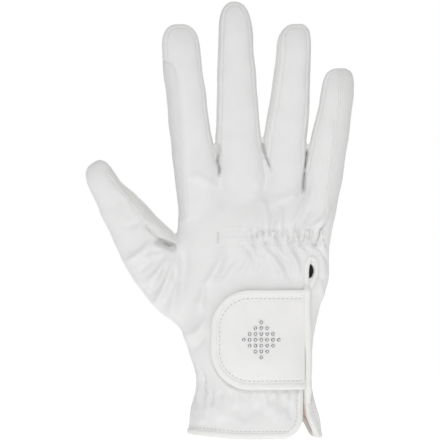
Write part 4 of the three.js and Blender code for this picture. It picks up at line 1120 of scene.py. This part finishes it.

# %% [markdown]
# ## Strips, lining and thread
# The strips between the fingers are a fine twill. The inside is a skin-coloured knit, which shows
# only in the slit and in the cuff. Thread is twisted and white; its grey tone, darker than what it is sewn
# through, is painted shade of the stitch holes, or no stitch would be seen on white. The thread of the
# elastic is finer, with paler painted shade.

# %% Strips, lining and thread
strip_fabric = finish("strip_fabric", (0.795, 0.792, 0.786), (0.82, 0.818, 0.812), 0.8, (150, 3),
                      [(ribs_of, (0.8 * MM, "DIAGONAL", 1.5), 0.4, 0.12), (noise_of, (1300, 2), 0.3, 0.1)],
                      sheen=0.2)
lining_knit = finish("lining_knit", (0.72, 0.59, 0.51), (0.82, 0.69, 0.61), 0.9, (240, 3),
                     [(ribs_of, (1.0 * MM, "X", 1.0), 0.5, 0.2), (noise_of, (900, 2), 0.4, 0.15)], sheen=0.3)


def thread(name, dark, light):
    """Twisted white sewing thread, in two warm greys of painted shade."""
    return finish(name, (dark, dark, dark - 0.01), (light, light, light - 0.01), 0.55, (500, 2),
                  [(ribs_of, (0.35 * MM, "DIAGONAL"), 0.6, 0.1)], sheen=0.2)


# the grey of the white thread is painted shade of its stitch holes
shaded_white_thread = thread("shaded_white_thread", 0.56, 0.68)
shaded_fine_thread = thread("shaded_fine_thread", 0.66, 0.74)
print("finishes:", [made.name for made in bpy.data.materials])

# %% [markdown]
# ## The panels as sewn pieces
# Each panel gets the thickness of its material: the outer skin, the same skin moved inwards, and a
# rim between them. The inside is another finish, a soft lining that shows in the slit and the cuff.
# A Solidify modifier does much the same. Here the points of both sides stay at hand as numbers.

# %% Build the panels
THICKNESS = 1.3


def as_object(name, points, faces, materials, numbers=None, *, slot, sharp=math.radians(60)):
    """A mesh object from points in millimetres, riding on the glove's body."""
    mesh = bpy.data.meshes.new(name)
    corners = faces.tolist() if isinstance(faces, np.ndarray) else faces
    mesh.from_pydata((np.asarray(points) * MM).tolist(), [], corners)
    for material in materials:
        mesh.materials.append(material)
    if numbers is not None:
        mesh.polygons.foreach_set("material_index", np.asarray(numbers, dtype=np.int32))
    mesh.polygons.foreach_set("use_smooth", np.ones(len(mesh.polygons), dtype=bool))
    mesh.set_sharp_from_angle(angle=sharp)
    mesh.validate()
    made = bpy.data.objects.new(name, mesh)
    bpy.context.scene.collection.objects.link(made)
    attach(made, "root")
    return made


def thickened(faces, thickness):
    """Points and triangles of part of the skin with its thickness, and which are on the inside."""
    used, local = np.unique(faces, return_inverse=True)
    local = local.reshape(-1, 3)
    outer = skin_out[used]
    points = np.concatenate([outer, outer - normals[used] * thickness])
    sides = np.concatenate([local[:, [0, 1]], local[:, [1, 2]], local[:, [2, 0]]])
    code = np.sort(sides, axis=1) @ np.array([len(used), 1])
    _, first, count = np.unique(code, return_index=True, return_counts=True)
    rim = sides[first[count == 1]]
    below = rim + len(used)
    walls = np.concatenate([np.stack([rim[:, 1], rim[:, 0], below[:, 0]], 1),
                            np.stack([rim[:, 1], below[:, 0], below[:, 1]], 1)])
    inner = local[:, ::-1] + len(used)
    numbers = np.concatenate([np.zeros(len(local)), np.ones(len(inner)), np.zeros(len(walls))])
    return points, np.concatenate([local, inner, walls]), numbers


PANELS = [
    ("glove_back", [BACK], back_suede, "back_fabric", ["back_panel", "thumb_back"]),
    ("glove_palm", [PALM], palm_leather, "palm_leather", ["palm_panel"]),
    ("index_reinforcement", [INDEX_SIDE], shaded_side_suede, "palm_leather", ["index_side_panel"]),
    ("ribbed_side", [ULNAR_SIDE], ribbed_knit, "back_fabric", ["ulnar_side_panel"]),
    ("strip_index_middle", [STRIP_LOW], strip_fabric, "back_fabric", ["fourchette_index_middle"]),
    ("strip_middle_ring", [STRIP_LOW + 1], strip_fabric, "back_fabric", ["fourchette_middle_ring"]),
    ("strip_ring_little", [STRIP_LOW + 2], strip_fabric, "back_fabric", ["fourchette_ring_little"]),
    ("thumb_palm_side", [THUMB_FRONT], shaded_thumb_leather, "palm_leather", ["thumb_front"]),
]
for name, numbers, outside, slot, nodes in PANELS:
    points, faces, inside = thickened(triangles[np.isin(panel, numbers)], THICKNESS)
    made = as_object(name, points, faces, [outside, lining_knit], inside, slot=slot)
    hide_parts(*nodes)
    print(name, "triangles:", len(faces))

# %% [markdown]
# ## Bound edges
# The cuff, the slit and the keyhole are bound: a strip of smooth leather is folded over the raw
# edge and sewn through. A strip is swept along its path with a rounded section, and every point of
# it is first laid on the skin, so that it follows the gathers as a sewn strip does. A curve with a
# bevel would be quicker, but it would float over the folds or sink into them.

# %% A strip that lies on the skin
skin_tree = BVHTree.FromPolygons(skin_out.tolist(), triangles.tolist())


def on_front(x, z, lift=0.0):
    """Point over the calm back of the hand, at a lift off it."""
    left, right, back, palm = hand_section(z)
    share = np.clip((x - (left + right) / 2) / ((right - left) / 2 + lift), -1, 1)
    y = curl_at(z) - (back + lift) * blunt_depth(share)
    return np.stack(np.broadcast_arrays(x, y, z), axis=-1)


def laid(points):
    """Nearest points of the skin, and the skin's normals there."""
    found = [skin_tree.find_nearest(Vector(point)) for point in points]
    return np.array([spot[0] for spot in found]), np.array([spot[1] for spot in found])


def evenly(points, step):
    """A line resampled at even steps."""
    points = np.asarray(points, dtype=float)
    run = np.concatenate([[0], np.cumsum(np.linalg.norm(np.diff(points, axis=0), axis=1))])
    at = np.linspace(0, run[-1], max(int(round(run[-1] / step)), 2) + 1)
    return np.stack([np.interp(at, run, points[:, axis]) for axis in range(points.shape[1])], axis=1)


def softened(points, rounds, closed=False):
    """A line whose corners are rounded by moving each point towards its neighbours."""
    points = points.copy()
    for _ in range(rounds):
        if closed:
            points = 0.5 * points + 0.25 * (np.roll(points, 1, 0) + np.roll(points, -1, 0))
        else:
            points[1:-1] = 0.5 * points[1:-1] + 0.25 * (points[:-2] + points[2:])
    return points


def hoop(rings, flipped=False):
    """Closed hoop through rings of points, which is turned inside out where they run the other way."""
    rows, turns = rings.shape[:2]
    here = np.arange(rows * turns).reshape(rows, turns)
    beyond, aside = np.roll(here, -1, 0), np.roll(here, -1, 1)
    quads = np.stack([here, aside, np.roll(beyond, -1, 1), beyond], axis=-1).reshape(-1, 4)
    return rings.reshape(-1, 3), (quads[:, [0, 3, 2, 1]] if flipped else quads).tolist()


def swept(path, half_width, low, high, closed=False, turns=14, square=0.7):
    """Rounded strip along a path on the skin, from a depth low to a height high off it."""
    base, out = laid(path)
    out = softened(out, 6, closed)
    out /= np.linalg.norm(out, axis=1)[:, None]
    ahead = np.roll(base, -1, 0) - np.roll(base, 1, 0) if closed else np.gradient(base, axis=0)
    beside = np.cross(out, softened(ahead, 4, closed))
    beside /= np.linalg.norm(beside, axis=1)[:, None]
    turn = np.linspace(0, 2 * math.pi, turns, endpoint=False)
    reach, rise = signed_power(np.cos(turn), square), signed_power(np.sin(turn), square)
    half_width = np.broadcast_to(half_width, len(base))[:, None]
    flat = base[:, None, :] + beside[:, None, :] * (reach * half_width)[..., None]
    spot, normal = laid(flat.reshape(-1, 3))
    drift = ((flat.reshape(-1, 3) - spot) * normal).sum(axis=1)
    foot = (flat.reshape(-1, 3) - normal * drift[:, None]).reshape(flat.shape)
    high = np.broadcast_to(high, len(base))[:, None]
    height = low + (high - low) * (0.5 + 0.5 * rise)
    rings = foot + out[:, None, :] * height[..., None]
    return hoop(rings) if closed else loft(rings)


def gathered(parts):
    """Several closed shapes as one list of points and faces."""
    points, faces, first = [], [], 0
    for some_points, some_faces in parts:
        points.append(some_points)
        faces.extend([[corner + first for corner in face] for face in some_faces])
        first += len(some_points)
    return np.concatenate(points), faces


print("skin to lay strips on, triangles:", len(triangles))

# %% [markdown]
# ## The cuff's hem and the slit
# The hem runs round the cuff, turns up the slit in a round corner on either side, and ends where
# the tab's stack of layers begins. A keyhole closes the top of the slit, with its own bound ring.

# %% Hem and slit
HEM_HALF, HEM_IN, HEM_OUT, HEM_MIDDLE = 1.7, -1.9, 0.75, 1.75
SLIT_TRIM = 1.25


def front_path(rows, step=0.8):
    """A line of x and height, resampled and laid over the back of the hand."""
    line = evenly(np.array(rows, dtype=float), step)
    return on_front(line[:, 0], line[:, 1])


def set_in(rows, inset):
    """A line of x and height moved to its right-hand side, seen along it."""
    rows = np.array(rows, dtype=float)
    ahead = np.gradient(rows, axis=0)
    ahead /= np.linalg.norm(ahead, axis=1)[:, None]
    return rows + inset * np.stack([ahead[:, 1], -ahead[:, 0]], axis=1)


# heights at which the slit's edges are read, from the tab down to the hem
SLIT_HEIGHTS = np.array([30, 26, 22, 18, 15, 12, 10, 8, 6, 4.5, 3.2, 2.0, 1.0, 0.3])
left_edge = np.stack([flap_left(SLIT_HEIGHTS), SLIT_HEIGHTS], axis=1)
right_edge = np.stack([flap_right(SLIT_HEIGHTS), SLIT_HEIGHTS], axis=1)[::-1]
front_hem = [(x, HEM_MIDDLE + float(hem_low(x))) for x in np.linspace(13.0, -24, 20)]
left_rows = front_path(np.concatenate([set_in(left_edge, SLIT_TRIM)[:-1], front_hem]))
# degrees round the cuff, from the thumb side over the palm to the flap on the outer side
WRAP_FROM, WRAP_TO = -132, -376
wrap_turns = np.radians(np.linspace(WRAP_FROM, WRAP_TO, 200))
wrap = hand_ring(np.full(2, HEM_MIDDLE), wrap_turns)[0]
wrap[:, 2] += hem_at(wrap[:, 0], wrap[:, 1])
right_rows = front_path(set_in(right_edge, SLIT_TRIM)[1:])
hem_path = softened(evenly(np.concatenate([left_rows, wrap, right_rows]), 0.8), 3)
hem = swept(hem_path, HEM_HALF, HEM_IN, HEM_OUT, turns=16)
hem_piece = as_object("cuff_binding", *hem, [trim_leather], slot="trim_leather")
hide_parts("hem_binding")
print("hem and slit edge, mm:", round(float(np.linalg.norm(np.diff(hem_path, axis=0), axis=1).sum())))

# %% Keyhole ring and the tab's stack
STACK_HALF, STACK_HIGH = 2.15, 4.3
# height and x of the middle of the tab's stack, which runs out into the edge of the right flap
STACK_LINE = [(11.0, 30.4), (15.0, 29.3), (19.0, 28.5), (23.0, 27.5), (27.0, 26.8), (32.0, 26.5),
              (60.0, 26.8), (76.0, 27.2), (83.5, 28.2)]
STACK_FOOT, STACK_FULL = 17.0, 27.5
STACK_FALLS, STACK_TOP = 78.5, STACK_LINE[-1][0]
FLAT_TRIM, TRIM_IN = 0.6, -0.9
RING_HALF, RING_HIGH = 1.4, 1.05
# x and height round the keyhole: straight on the left, round on the right, drawn in at the foot
RING_LINE = [(27.6, 80.0), (27.4, 84.5), (27.5, 90.0), (28.0, 93.6), (29.6, 96.2), (31.4, 96.0), (32.7, 93.6),
             (33.1, 90.0), (32.5, 86.5), (30.9, 83.4), (29.2, 80.4), (28.2, 78.6)]
ring_line = np.array(RING_LINE + [RING_LINE[0]])
ring_path = softened(evenly(ring_line, 0.6)[:-1], 3, closed=True)
ring = swept(on_front(ring_path[:, 0], ring_path[:, 1]), RING_HALF, TRIM_IN, RING_HIGH, closed=True)
stack_heights = np.linspace(STACK_LINE[0][0], STACK_TOP, 110)
stack_path = on_front(read_rows(STACK_LINE, 1, stack_heights), stack_heights)
stack_ease = ease(STACK_FOOT, STACK_FULL, stack_heights) * ease(STACK_TOP, STACK_FALLS, stack_heights)
stack = swept(stack_path, STACK_HALF * (0.72 + 0.28 * stack_ease), TRIM_IN,
              FLAT_TRIM + (STACK_HIGH - FLAT_TRIM) * stack_ease)
slit_piece = as_object("slit_binding_soft", *gathered([ring, stack]), [trim_leather], slot="trim_leather")
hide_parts("slit_binding")
print("keyhole ring, mm round:", round(float(np.linalg.norm(np.diff(ring_path, axis=0), axis=1).sum()), 1))

# %% [markdown]
# ## The tab
# The wrist tab is a D of smooth leather, with its edge bound by a narrow rolled strip and sewn a
# little further in. Both are made of nested outlines: each ring of points is the D set in by some
# millimetres, at its own height over the hand. Two such pieces meet in a groove. A flat shape with
# a bevel has the same outline, but it wouldn't bend round the wrist.

# %% Tab and its bound edge
TAB_REACH, TAB_CORNER, TAB_REST, TAB_END = 50.0, 21.0, 0.55, 27.3


def tab_ring(inset, count=150):
    """Outline of the D set in from its edge, counted from the lower right end round to the upper."""
    radius = max(TAB_CORNER - inset, 0.4)
    low_z, high_z = TAB_LOW + inset, TAB_HIGH - inset
    left = TAB_LEFT + inset
    end = TAB_END - 0.1 * inset
    turn = np.linspace(-math.pi / 2, -math.pi * 1.5, 40)
    arc = np.stack([left + radius + radius * np.cos(turn), low_z + radius + radius * np.sin(turn)], 1)
    low_arc, high_arc = arc[:20], arc[20:]
    high_arc = np.stack([high_arc[:, 0], high_arc[:, 1] + (high_z - low_z - 2 * radius)], 1)
    line = np.concatenate([[(end, low_z)], low_arc, high_arc, [(end, high_z)]])
    side = evenly(line, 0.1)
    run = np.linspace(0, len(side) - 1, count)
    around = np.stack([np.interp(run, range(len(side)), side[:, k]) for k in (0, 1)], 1)
    closing = np.linspace(0, 1, 52)[1:-1, None]
    return np.concatenate([around, around[-1] + (around[0] - around[-1]) * closing])


def stepped(rows):
    """Closed shape through outlines of (inset, lift, share of its size), over the back of the hand."""
    rings = []
    for inset, lift, *shrink in rows:
        line = tab_ring(inset)
        if shrink:
            line = line.mean(axis=0) + (line - line.mean(axis=0)) * shrink[0]
        rings.append(on_front(line[:, 0], line[:, 1], lift))
    return np.stack(rings)


TAB_EDGE, EDGE_MIDDLE, EDGE_HIGH, EDGE_SQUARE = 3.5, 1.3, 1.25, 0.75
edge_turn = np.linspace(0, 2 * math.pi, 18, endpoint=False)
edge_insets = TAB_EDGE / 2 * (1 - signed_power(np.cos(edge_turn), EDGE_SQUARE))
edge_lifts = TAB_REST + EDGE_MIDDLE + EDGE_HIGH * signed_power(np.sin(edge_turn), EDGE_SQUARE)
edge_rings = stepped(zip(edge_insets, edge_lifts))
tab_edge = as_object("tab_bound_edge", *hoop(edge_rings, flipped=True), [trim_leather], slot="trim_leather")
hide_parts("tab_binding")

# inset and lift of the face's outlines: a flat middle, the dip of the seam, the rim and the underside
FACE_TOP = 2.75
FACE_ROWS = [
    (20.0, FACE_TOP), (17.0, FACE_TOP), (13.0, FACE_TOP), (10.0, 2.74), (8.0, 2.72), (6.8, 2.69), (6.0, 2.64),
    (5.4, 2.52), (5.0, 2.38), (4.7, 2.32), (4.4, 2.36), (4.0, 2.5), (3.5, 2.5), (3.1, 2.3), (3.1, 0.9),
    (6.0, 0.75), (13.0, 0.75), (20.8, 0.75)]
face_middle = [(20.0, FACE_TOP, share) for share in (0.02, 0.2, 0.4, 0.6, 0.8)]
face_points, face_faces = loft(stepped(face_middle + FACE_ROWS)[::-1])
tab_face = as_object("tab_face", face_points, face_faces, [trim_leather], slot="trim_leather")
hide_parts("closure_tab")
print("tab, mm:", TAB_REACH, "by", TAB_HIGH - TAB_LOW)

# %% [markdown]
# ## Stitches
# Every stitch is a small rounded grain of thread, half sunk in the leather. A row of them is laid
# along a line at an even pitch. A dashed texture is lighter, but it is flat from the side, and real
# grains catch the light.

# %% Rows of stitches
STITCH, STITCH_GAP, THREAD = 1.55, 0.75, 0.23


def stitches(line, out, stitch=STITCH, gap=STITCH_GAP, radius=THREAD, sink=0.05):
    """Grains of thread along a line in space, with the surface's normals beside it."""
    run = np.concatenate([[0], np.cumsum(np.linalg.norm(np.diff(line, axis=0), axis=1))])
    count = max(int(run[-1] // (stitch + gap)), 1)
    pitch = run[-1] / count
    turn = np.linspace(0, 2 * math.pi, 6, endpoint=False)
    parts = []
    for number in range(count):
        at = (number + 0.5) * pitch + np.array([-0.5, -0.42, -0.2, 0.2, 0.42, 0.5]) * stitch
        middle = np.stack([np.interp(at, run, line[:, axis]) for axis in range(3)], 1)
        normal = np.array([np.interp(at.mean(), run, out[:, axis]) for axis in range(3)])
        normal /= np.linalg.norm(normal)
        ahead = middle[-1] - middle[0]
        ahead /= np.linalg.norm(ahead)
        side = np.cross(ahead, normal)
        size = radius * np.array([0.25, 0.75, 1.0, 1.0, 0.75, 0.25])
        middle = middle + normal * (sink + radius * np.array([-1.0, -0.3, 0.1, 0.1, -0.3, -1.0]))[:, None]
        rings = (middle[:, None, :] + (size[:, None] * np.cos(turn))[..., None] * side
                 + (size[:, None] * np.sin(turn) * 0.8)[..., None] * normal)
        parts.append(loft(rings[::-1]))
    return parts


print("stitch and gap, mm:", STITCH, STITCH_GAP)

# %% Stitches of the tab
SEAM_INSET, SEAM_LIFT = 4.7, 2.36


def tab_stitch_line(inset, lift):
    """The tab's seam, with the directions that stand off the hand beside it."""
    line = tab_ring(inset, 300)[4:296]
    points = on_front(line[:, 0], line[:, 1], lift)
    return points, points - on_front(line[:, 0], line[:, 1], lift - 1.0)


tab_stitch = stitches(*tab_stitch_line(SEAM_INSET, SEAM_LIFT))
as_object("tab_stitches", *gathered(tab_stitch), [shaded_white_thread], slot="trim_leather")
print("stitches on the tab:", len(tab_stitch))

# %% Stitches of the cuff
HEM_STITCH_Z, FLAP_STITCH_INSET = 4.4, 3.3
hem_stitch = []
# degrees round the cuff, from beside the slit over the thumb side and the palm to the outer flap
turns = np.radians(np.linspace(-62, WRAP_TO, 700))
line = hand_ring(np.full(2, HEM_STITCH_Z), turns)[0]
line[:, 2] += hem_at(line[:, 0], line[:, 1])
hem_stitch += stitches(*laid(evenly(line, 0.5)))
for rows in (set_in(left_edge, FLAP_STITCH_INSET)[:-3], set_in(right_edge, FLAP_STITCH_INSET)[3:]):
    hem_stitch += stitches(*laid(front_path(rows, 0.5)), stitch=1.3, gap=0.8, radius=0.18)
as_object("cuff_stitches", *gathered(hem_stitch), [shaded_white_thread], slot="trim_leather")
print("stitches on the cuff:", len(hem_stitch))

# %% Stitches of the elastic
# both ends, in x and height, of the bars that hold the end of the elastic and of the tab's stack
BARS = [((-19.6, 104.0), (-19.6, 110.2)), ((26.6, 25.2), (30.4, 25.6))]
# height of a row off the middle of the elastic, and the x at which it ends
ELASTIC_ROWS, ELASTIC_START = [(-5.4, -5.5), (0.0, 38.0), (5.4, -5.5)], -18.5
shirr_stitch = []
for off, end in ELASTIC_ROWS:
    row = front_path([(ELASTIC_START, SHIRR_Z + off), (end, SHIRR_Z + off)], 0.5)
    shirr_stitch += stitches(*laid(row), stitch=0.8, gap=0.7, radius=0.16)
for start, end in BARS:
    for offset in (-0.45, 0, 0.45):
        across = np.array([end[1] - start[1], start[0] - end[0]]) / math.dist(start, end)
        line = front_path(np.array([start, end]) + across * offset, 0.3)
        shirr_stitch += stitches(*laid(line), stitch=1.0, gap=0.1, radius=0.24)
as_object("elastic_stitches", *gathered(shirr_stitch), [shaded_fine_thread], slot="back_fabric")
print("stitches of the elastic:", len(shirr_stitch))

# %% [markdown]
# ## Cut stones
# A plain lozenge of round stones decorates the tab. Each stone is cut: a flat table, a ring of
# crown facets in two steps and a girdle, sunk in a thin metal cup. Facets of a foiled stone mirror
# light and dark parts of a room, so the crown's facets and the table get painted reflections: one of three
# tones in turn. Real glass would need a room full of lamps to sparkle, and more samples than a small picture
# is worth.

# %% Finishes of the stones
def stone_finish(name, tone, rough):
    """A metallic facet, with faint changes of gloss. For the crown and table its tone is a painted
    reflection; for the cup it is the metal's own grey.
    """
    made, shader, place = finish_of(name, tone, rough)
    shader.inputs["Metallic"].default_value = 0.85
    shader.inputs["Specular IOR Level"].default_value = 0.8
    ranged(made, noise_of(made, place, 900), rough, rough + 0.08, shader.inputs["Roughness"])
    return made


# the light, grey and dark tones are painted reflections of the room in the facets; the cup is the metal's own
# grey
stone_reflections_and_cup = [stone_finish("stone_light_reflection", (0.93, 0.94, 0.96), 0.05),
               stone_finish("stone_grey_reflection", (0.34, 0.35, 0.38), 0.08),
               stone_finish("stone_dark_reflection", (0.03, 0.032, 0.04), 0.06),
               stone_finish("stone_cup", (0.62, 0.63, 0.66), 0.3)]
LIGHT_REFLECTION, CUP = 0, 3
print("tones of a stone:", [made.name for made in stone_reflections_and_cup])

# %% One cut stone
STONE_SIDES, STONE_RADIUS, STONE_HIGH = 8, 1.0, 0.8
# painted reflection tones of the two lower facets of each side of the crown, counted round the stone
LEFT_FACETS, RIGHT_FACETS = (2, 0, 2, 1, 2, 1, 0, 2), (1, 2, 0, 2, 1, 2, 2, 0)


def cut_stone(turned):
    """Points and faces of one stone, its tones of painted reflection and cup, with its girdle at height
    nought.
    """
    turn = np.arange(STONE_SIDES) * 2 * math.pi / STONE_SIDES + turned

    def ring(radius, height, shift=0.0):
        across, up = radius * np.cos(turn + shift), radius * np.sin(turn + shift)
        return np.stack([across, up, np.full(STONE_SIDES, height)], 1)

    half_step = math.pi / STONE_SIDES
    rings = [ring(0.9, -0.35), ring(1.06, -0.3), ring(1.06, 0.12), ring(0.96, 0.16),
             ring(0.78, 0.5, half_step), ring(0.5, STONE_HIGH)]
    faces, tones = [], []
    for step in range(5):
        low_ring, high_ring = step, step + 1
        for side in range(STONE_SIDES):
            a, b = low_ring * STONE_SIDES + side, low_ring * STONE_SIDES + (side + 1) % STONE_SIDES
            c, d = high_ring * STONE_SIDES + side, high_ring * STONE_SIDES + (side + 1) % STONE_SIDES
            if step < 3:
                faces.append([a, b, d, c])
                tones.append(CUP)
            elif step == 3:
                faces += [[a, b, c], [b, d, c]]
                tones += [LEFT_FACETS[side], RIGHT_FACETS[side]]
            else:
                faces += [[a, d, c], [a, b, d]]
                tones += [(side * 2) % 3, (side + 2) % 3]
    # the table gets the light painted reflection
    faces.append([5 * STONE_SIDES + side for side in range(STONE_SIDES)])
    tones.append(LIGHT_REFLECTION)
    faces.append(list(range(STONE_SIDES))[::-1])
    tones.append(CUP)
    return np.concatenate(rings), faces, tones


print("facets of a stone:", len(cut_stone(0.0)[1]))

# %% Set the stones
STONE_ROWS, STONE_PITCH, STONE_SEAT = 3, 3.1, 2.8
TAB_MIDDLE_X, TAB_MIDDLE_Z = TAB_LEFT + 0.54 * TAB_REACH, (TAB_LOW + TAB_HIGH) / 2
stone_number = 0
for row in range(-STONE_ROWS, STONE_ROWS + 1):
    in_row = STONE_ROWS - abs(row)
    for column in range(-in_row, in_row + 1):
        stone_number += 1
        x, z = TAB_MIDDLE_X + column * STONE_PITCH, TAB_MIDDLE_Z + row * STONE_PITCH
        seat = on_front(x, z, STONE_SEAT)
        across_face = on_front(x + 0.5, z, STONE_SEAT) - on_front(x - 0.5, z, STONE_SEAT)
        up_face = on_front(x, z + 0.5, STONE_SEAT) - on_front(x, z - 0.5, STONE_SEAT)
        across_face, up_face = across_face / np.linalg.norm(across_face), up_face / np.linalg.norm(up_face)
        outwards = np.cross(across_face, up_face)
        points, faces, tones = cut_stone(0.4 * stone_number)
        flat = STONE_RADIUS * (points[:, :1] * across_face + points[:, 1:2] * up_face)
        placed = seat + flat + points[:, 2:] * outwards
        stone = as_object(f"stone_{stone_number:02d}", placed, faces, stone_reflections_and_cup, tones, slot="crystal",
                          sharp=math.radians(5))
        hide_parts(f"crystal_{stone_number:02d}")
print("stones:", stone_number)

# %% [markdown]
# ## Painted shade behind the keyhole
# The keyhole looks into the dark shade inside the glove. A small black sheet of painted shade lies right
# behind the hole, so the hole reads dark from every side, as it does on the real glove. Left open, it would
# show the pale lining.

# %% Painted shade sheet
# a black sheet behind the keyhole, painted shade of the glove's dark inside
SHADE_SHEET_HALF, SHADE_SHEET_DEEP, SHADE_SHEET_REACH = 4.2, (-2.6, -1.5), 7
keyhole_shade_finish = finish("keyhole_shade_finish", (0.008, 0.008, 0.009), (0.02, 0.02, 0.022), 0.95, (700, 3),
                    [(noise_of, (1600, 2), 0.6, 0.2)])
shade_sheet_heights = np.linspace(KEYHOLE_Z - SHADE_SHEET_REACH, KEYHOLE_Z + SHADE_SHEET_REACH, 20)
shade_sheet_path = on_front(np.full(20, KEYHOLE_LEFT + 1.3), shade_sheet_heights)
shade_sheet = swept(shade_sheet_path, SHADE_SHEET_HALF, *SHADE_SHEET_DEEP, square=0.5)
as_object("keyhole_painted_shade", *shade_sheet, [keyhole_shade_finish], slot="trim_leather")
print("tape behind the keyhole, mm high:", 2 * SHADE_SHEET_REACH)

# %% [markdown]
# ## The size
# The dressed glove is meant to stay in the frame's box, apart from what soft fabric may stand proud; its box
# is printed.

# %% Print the sizes
low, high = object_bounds()
print("visual box, mm:", [round(v / MM, 1) for v in (*low, *high)])
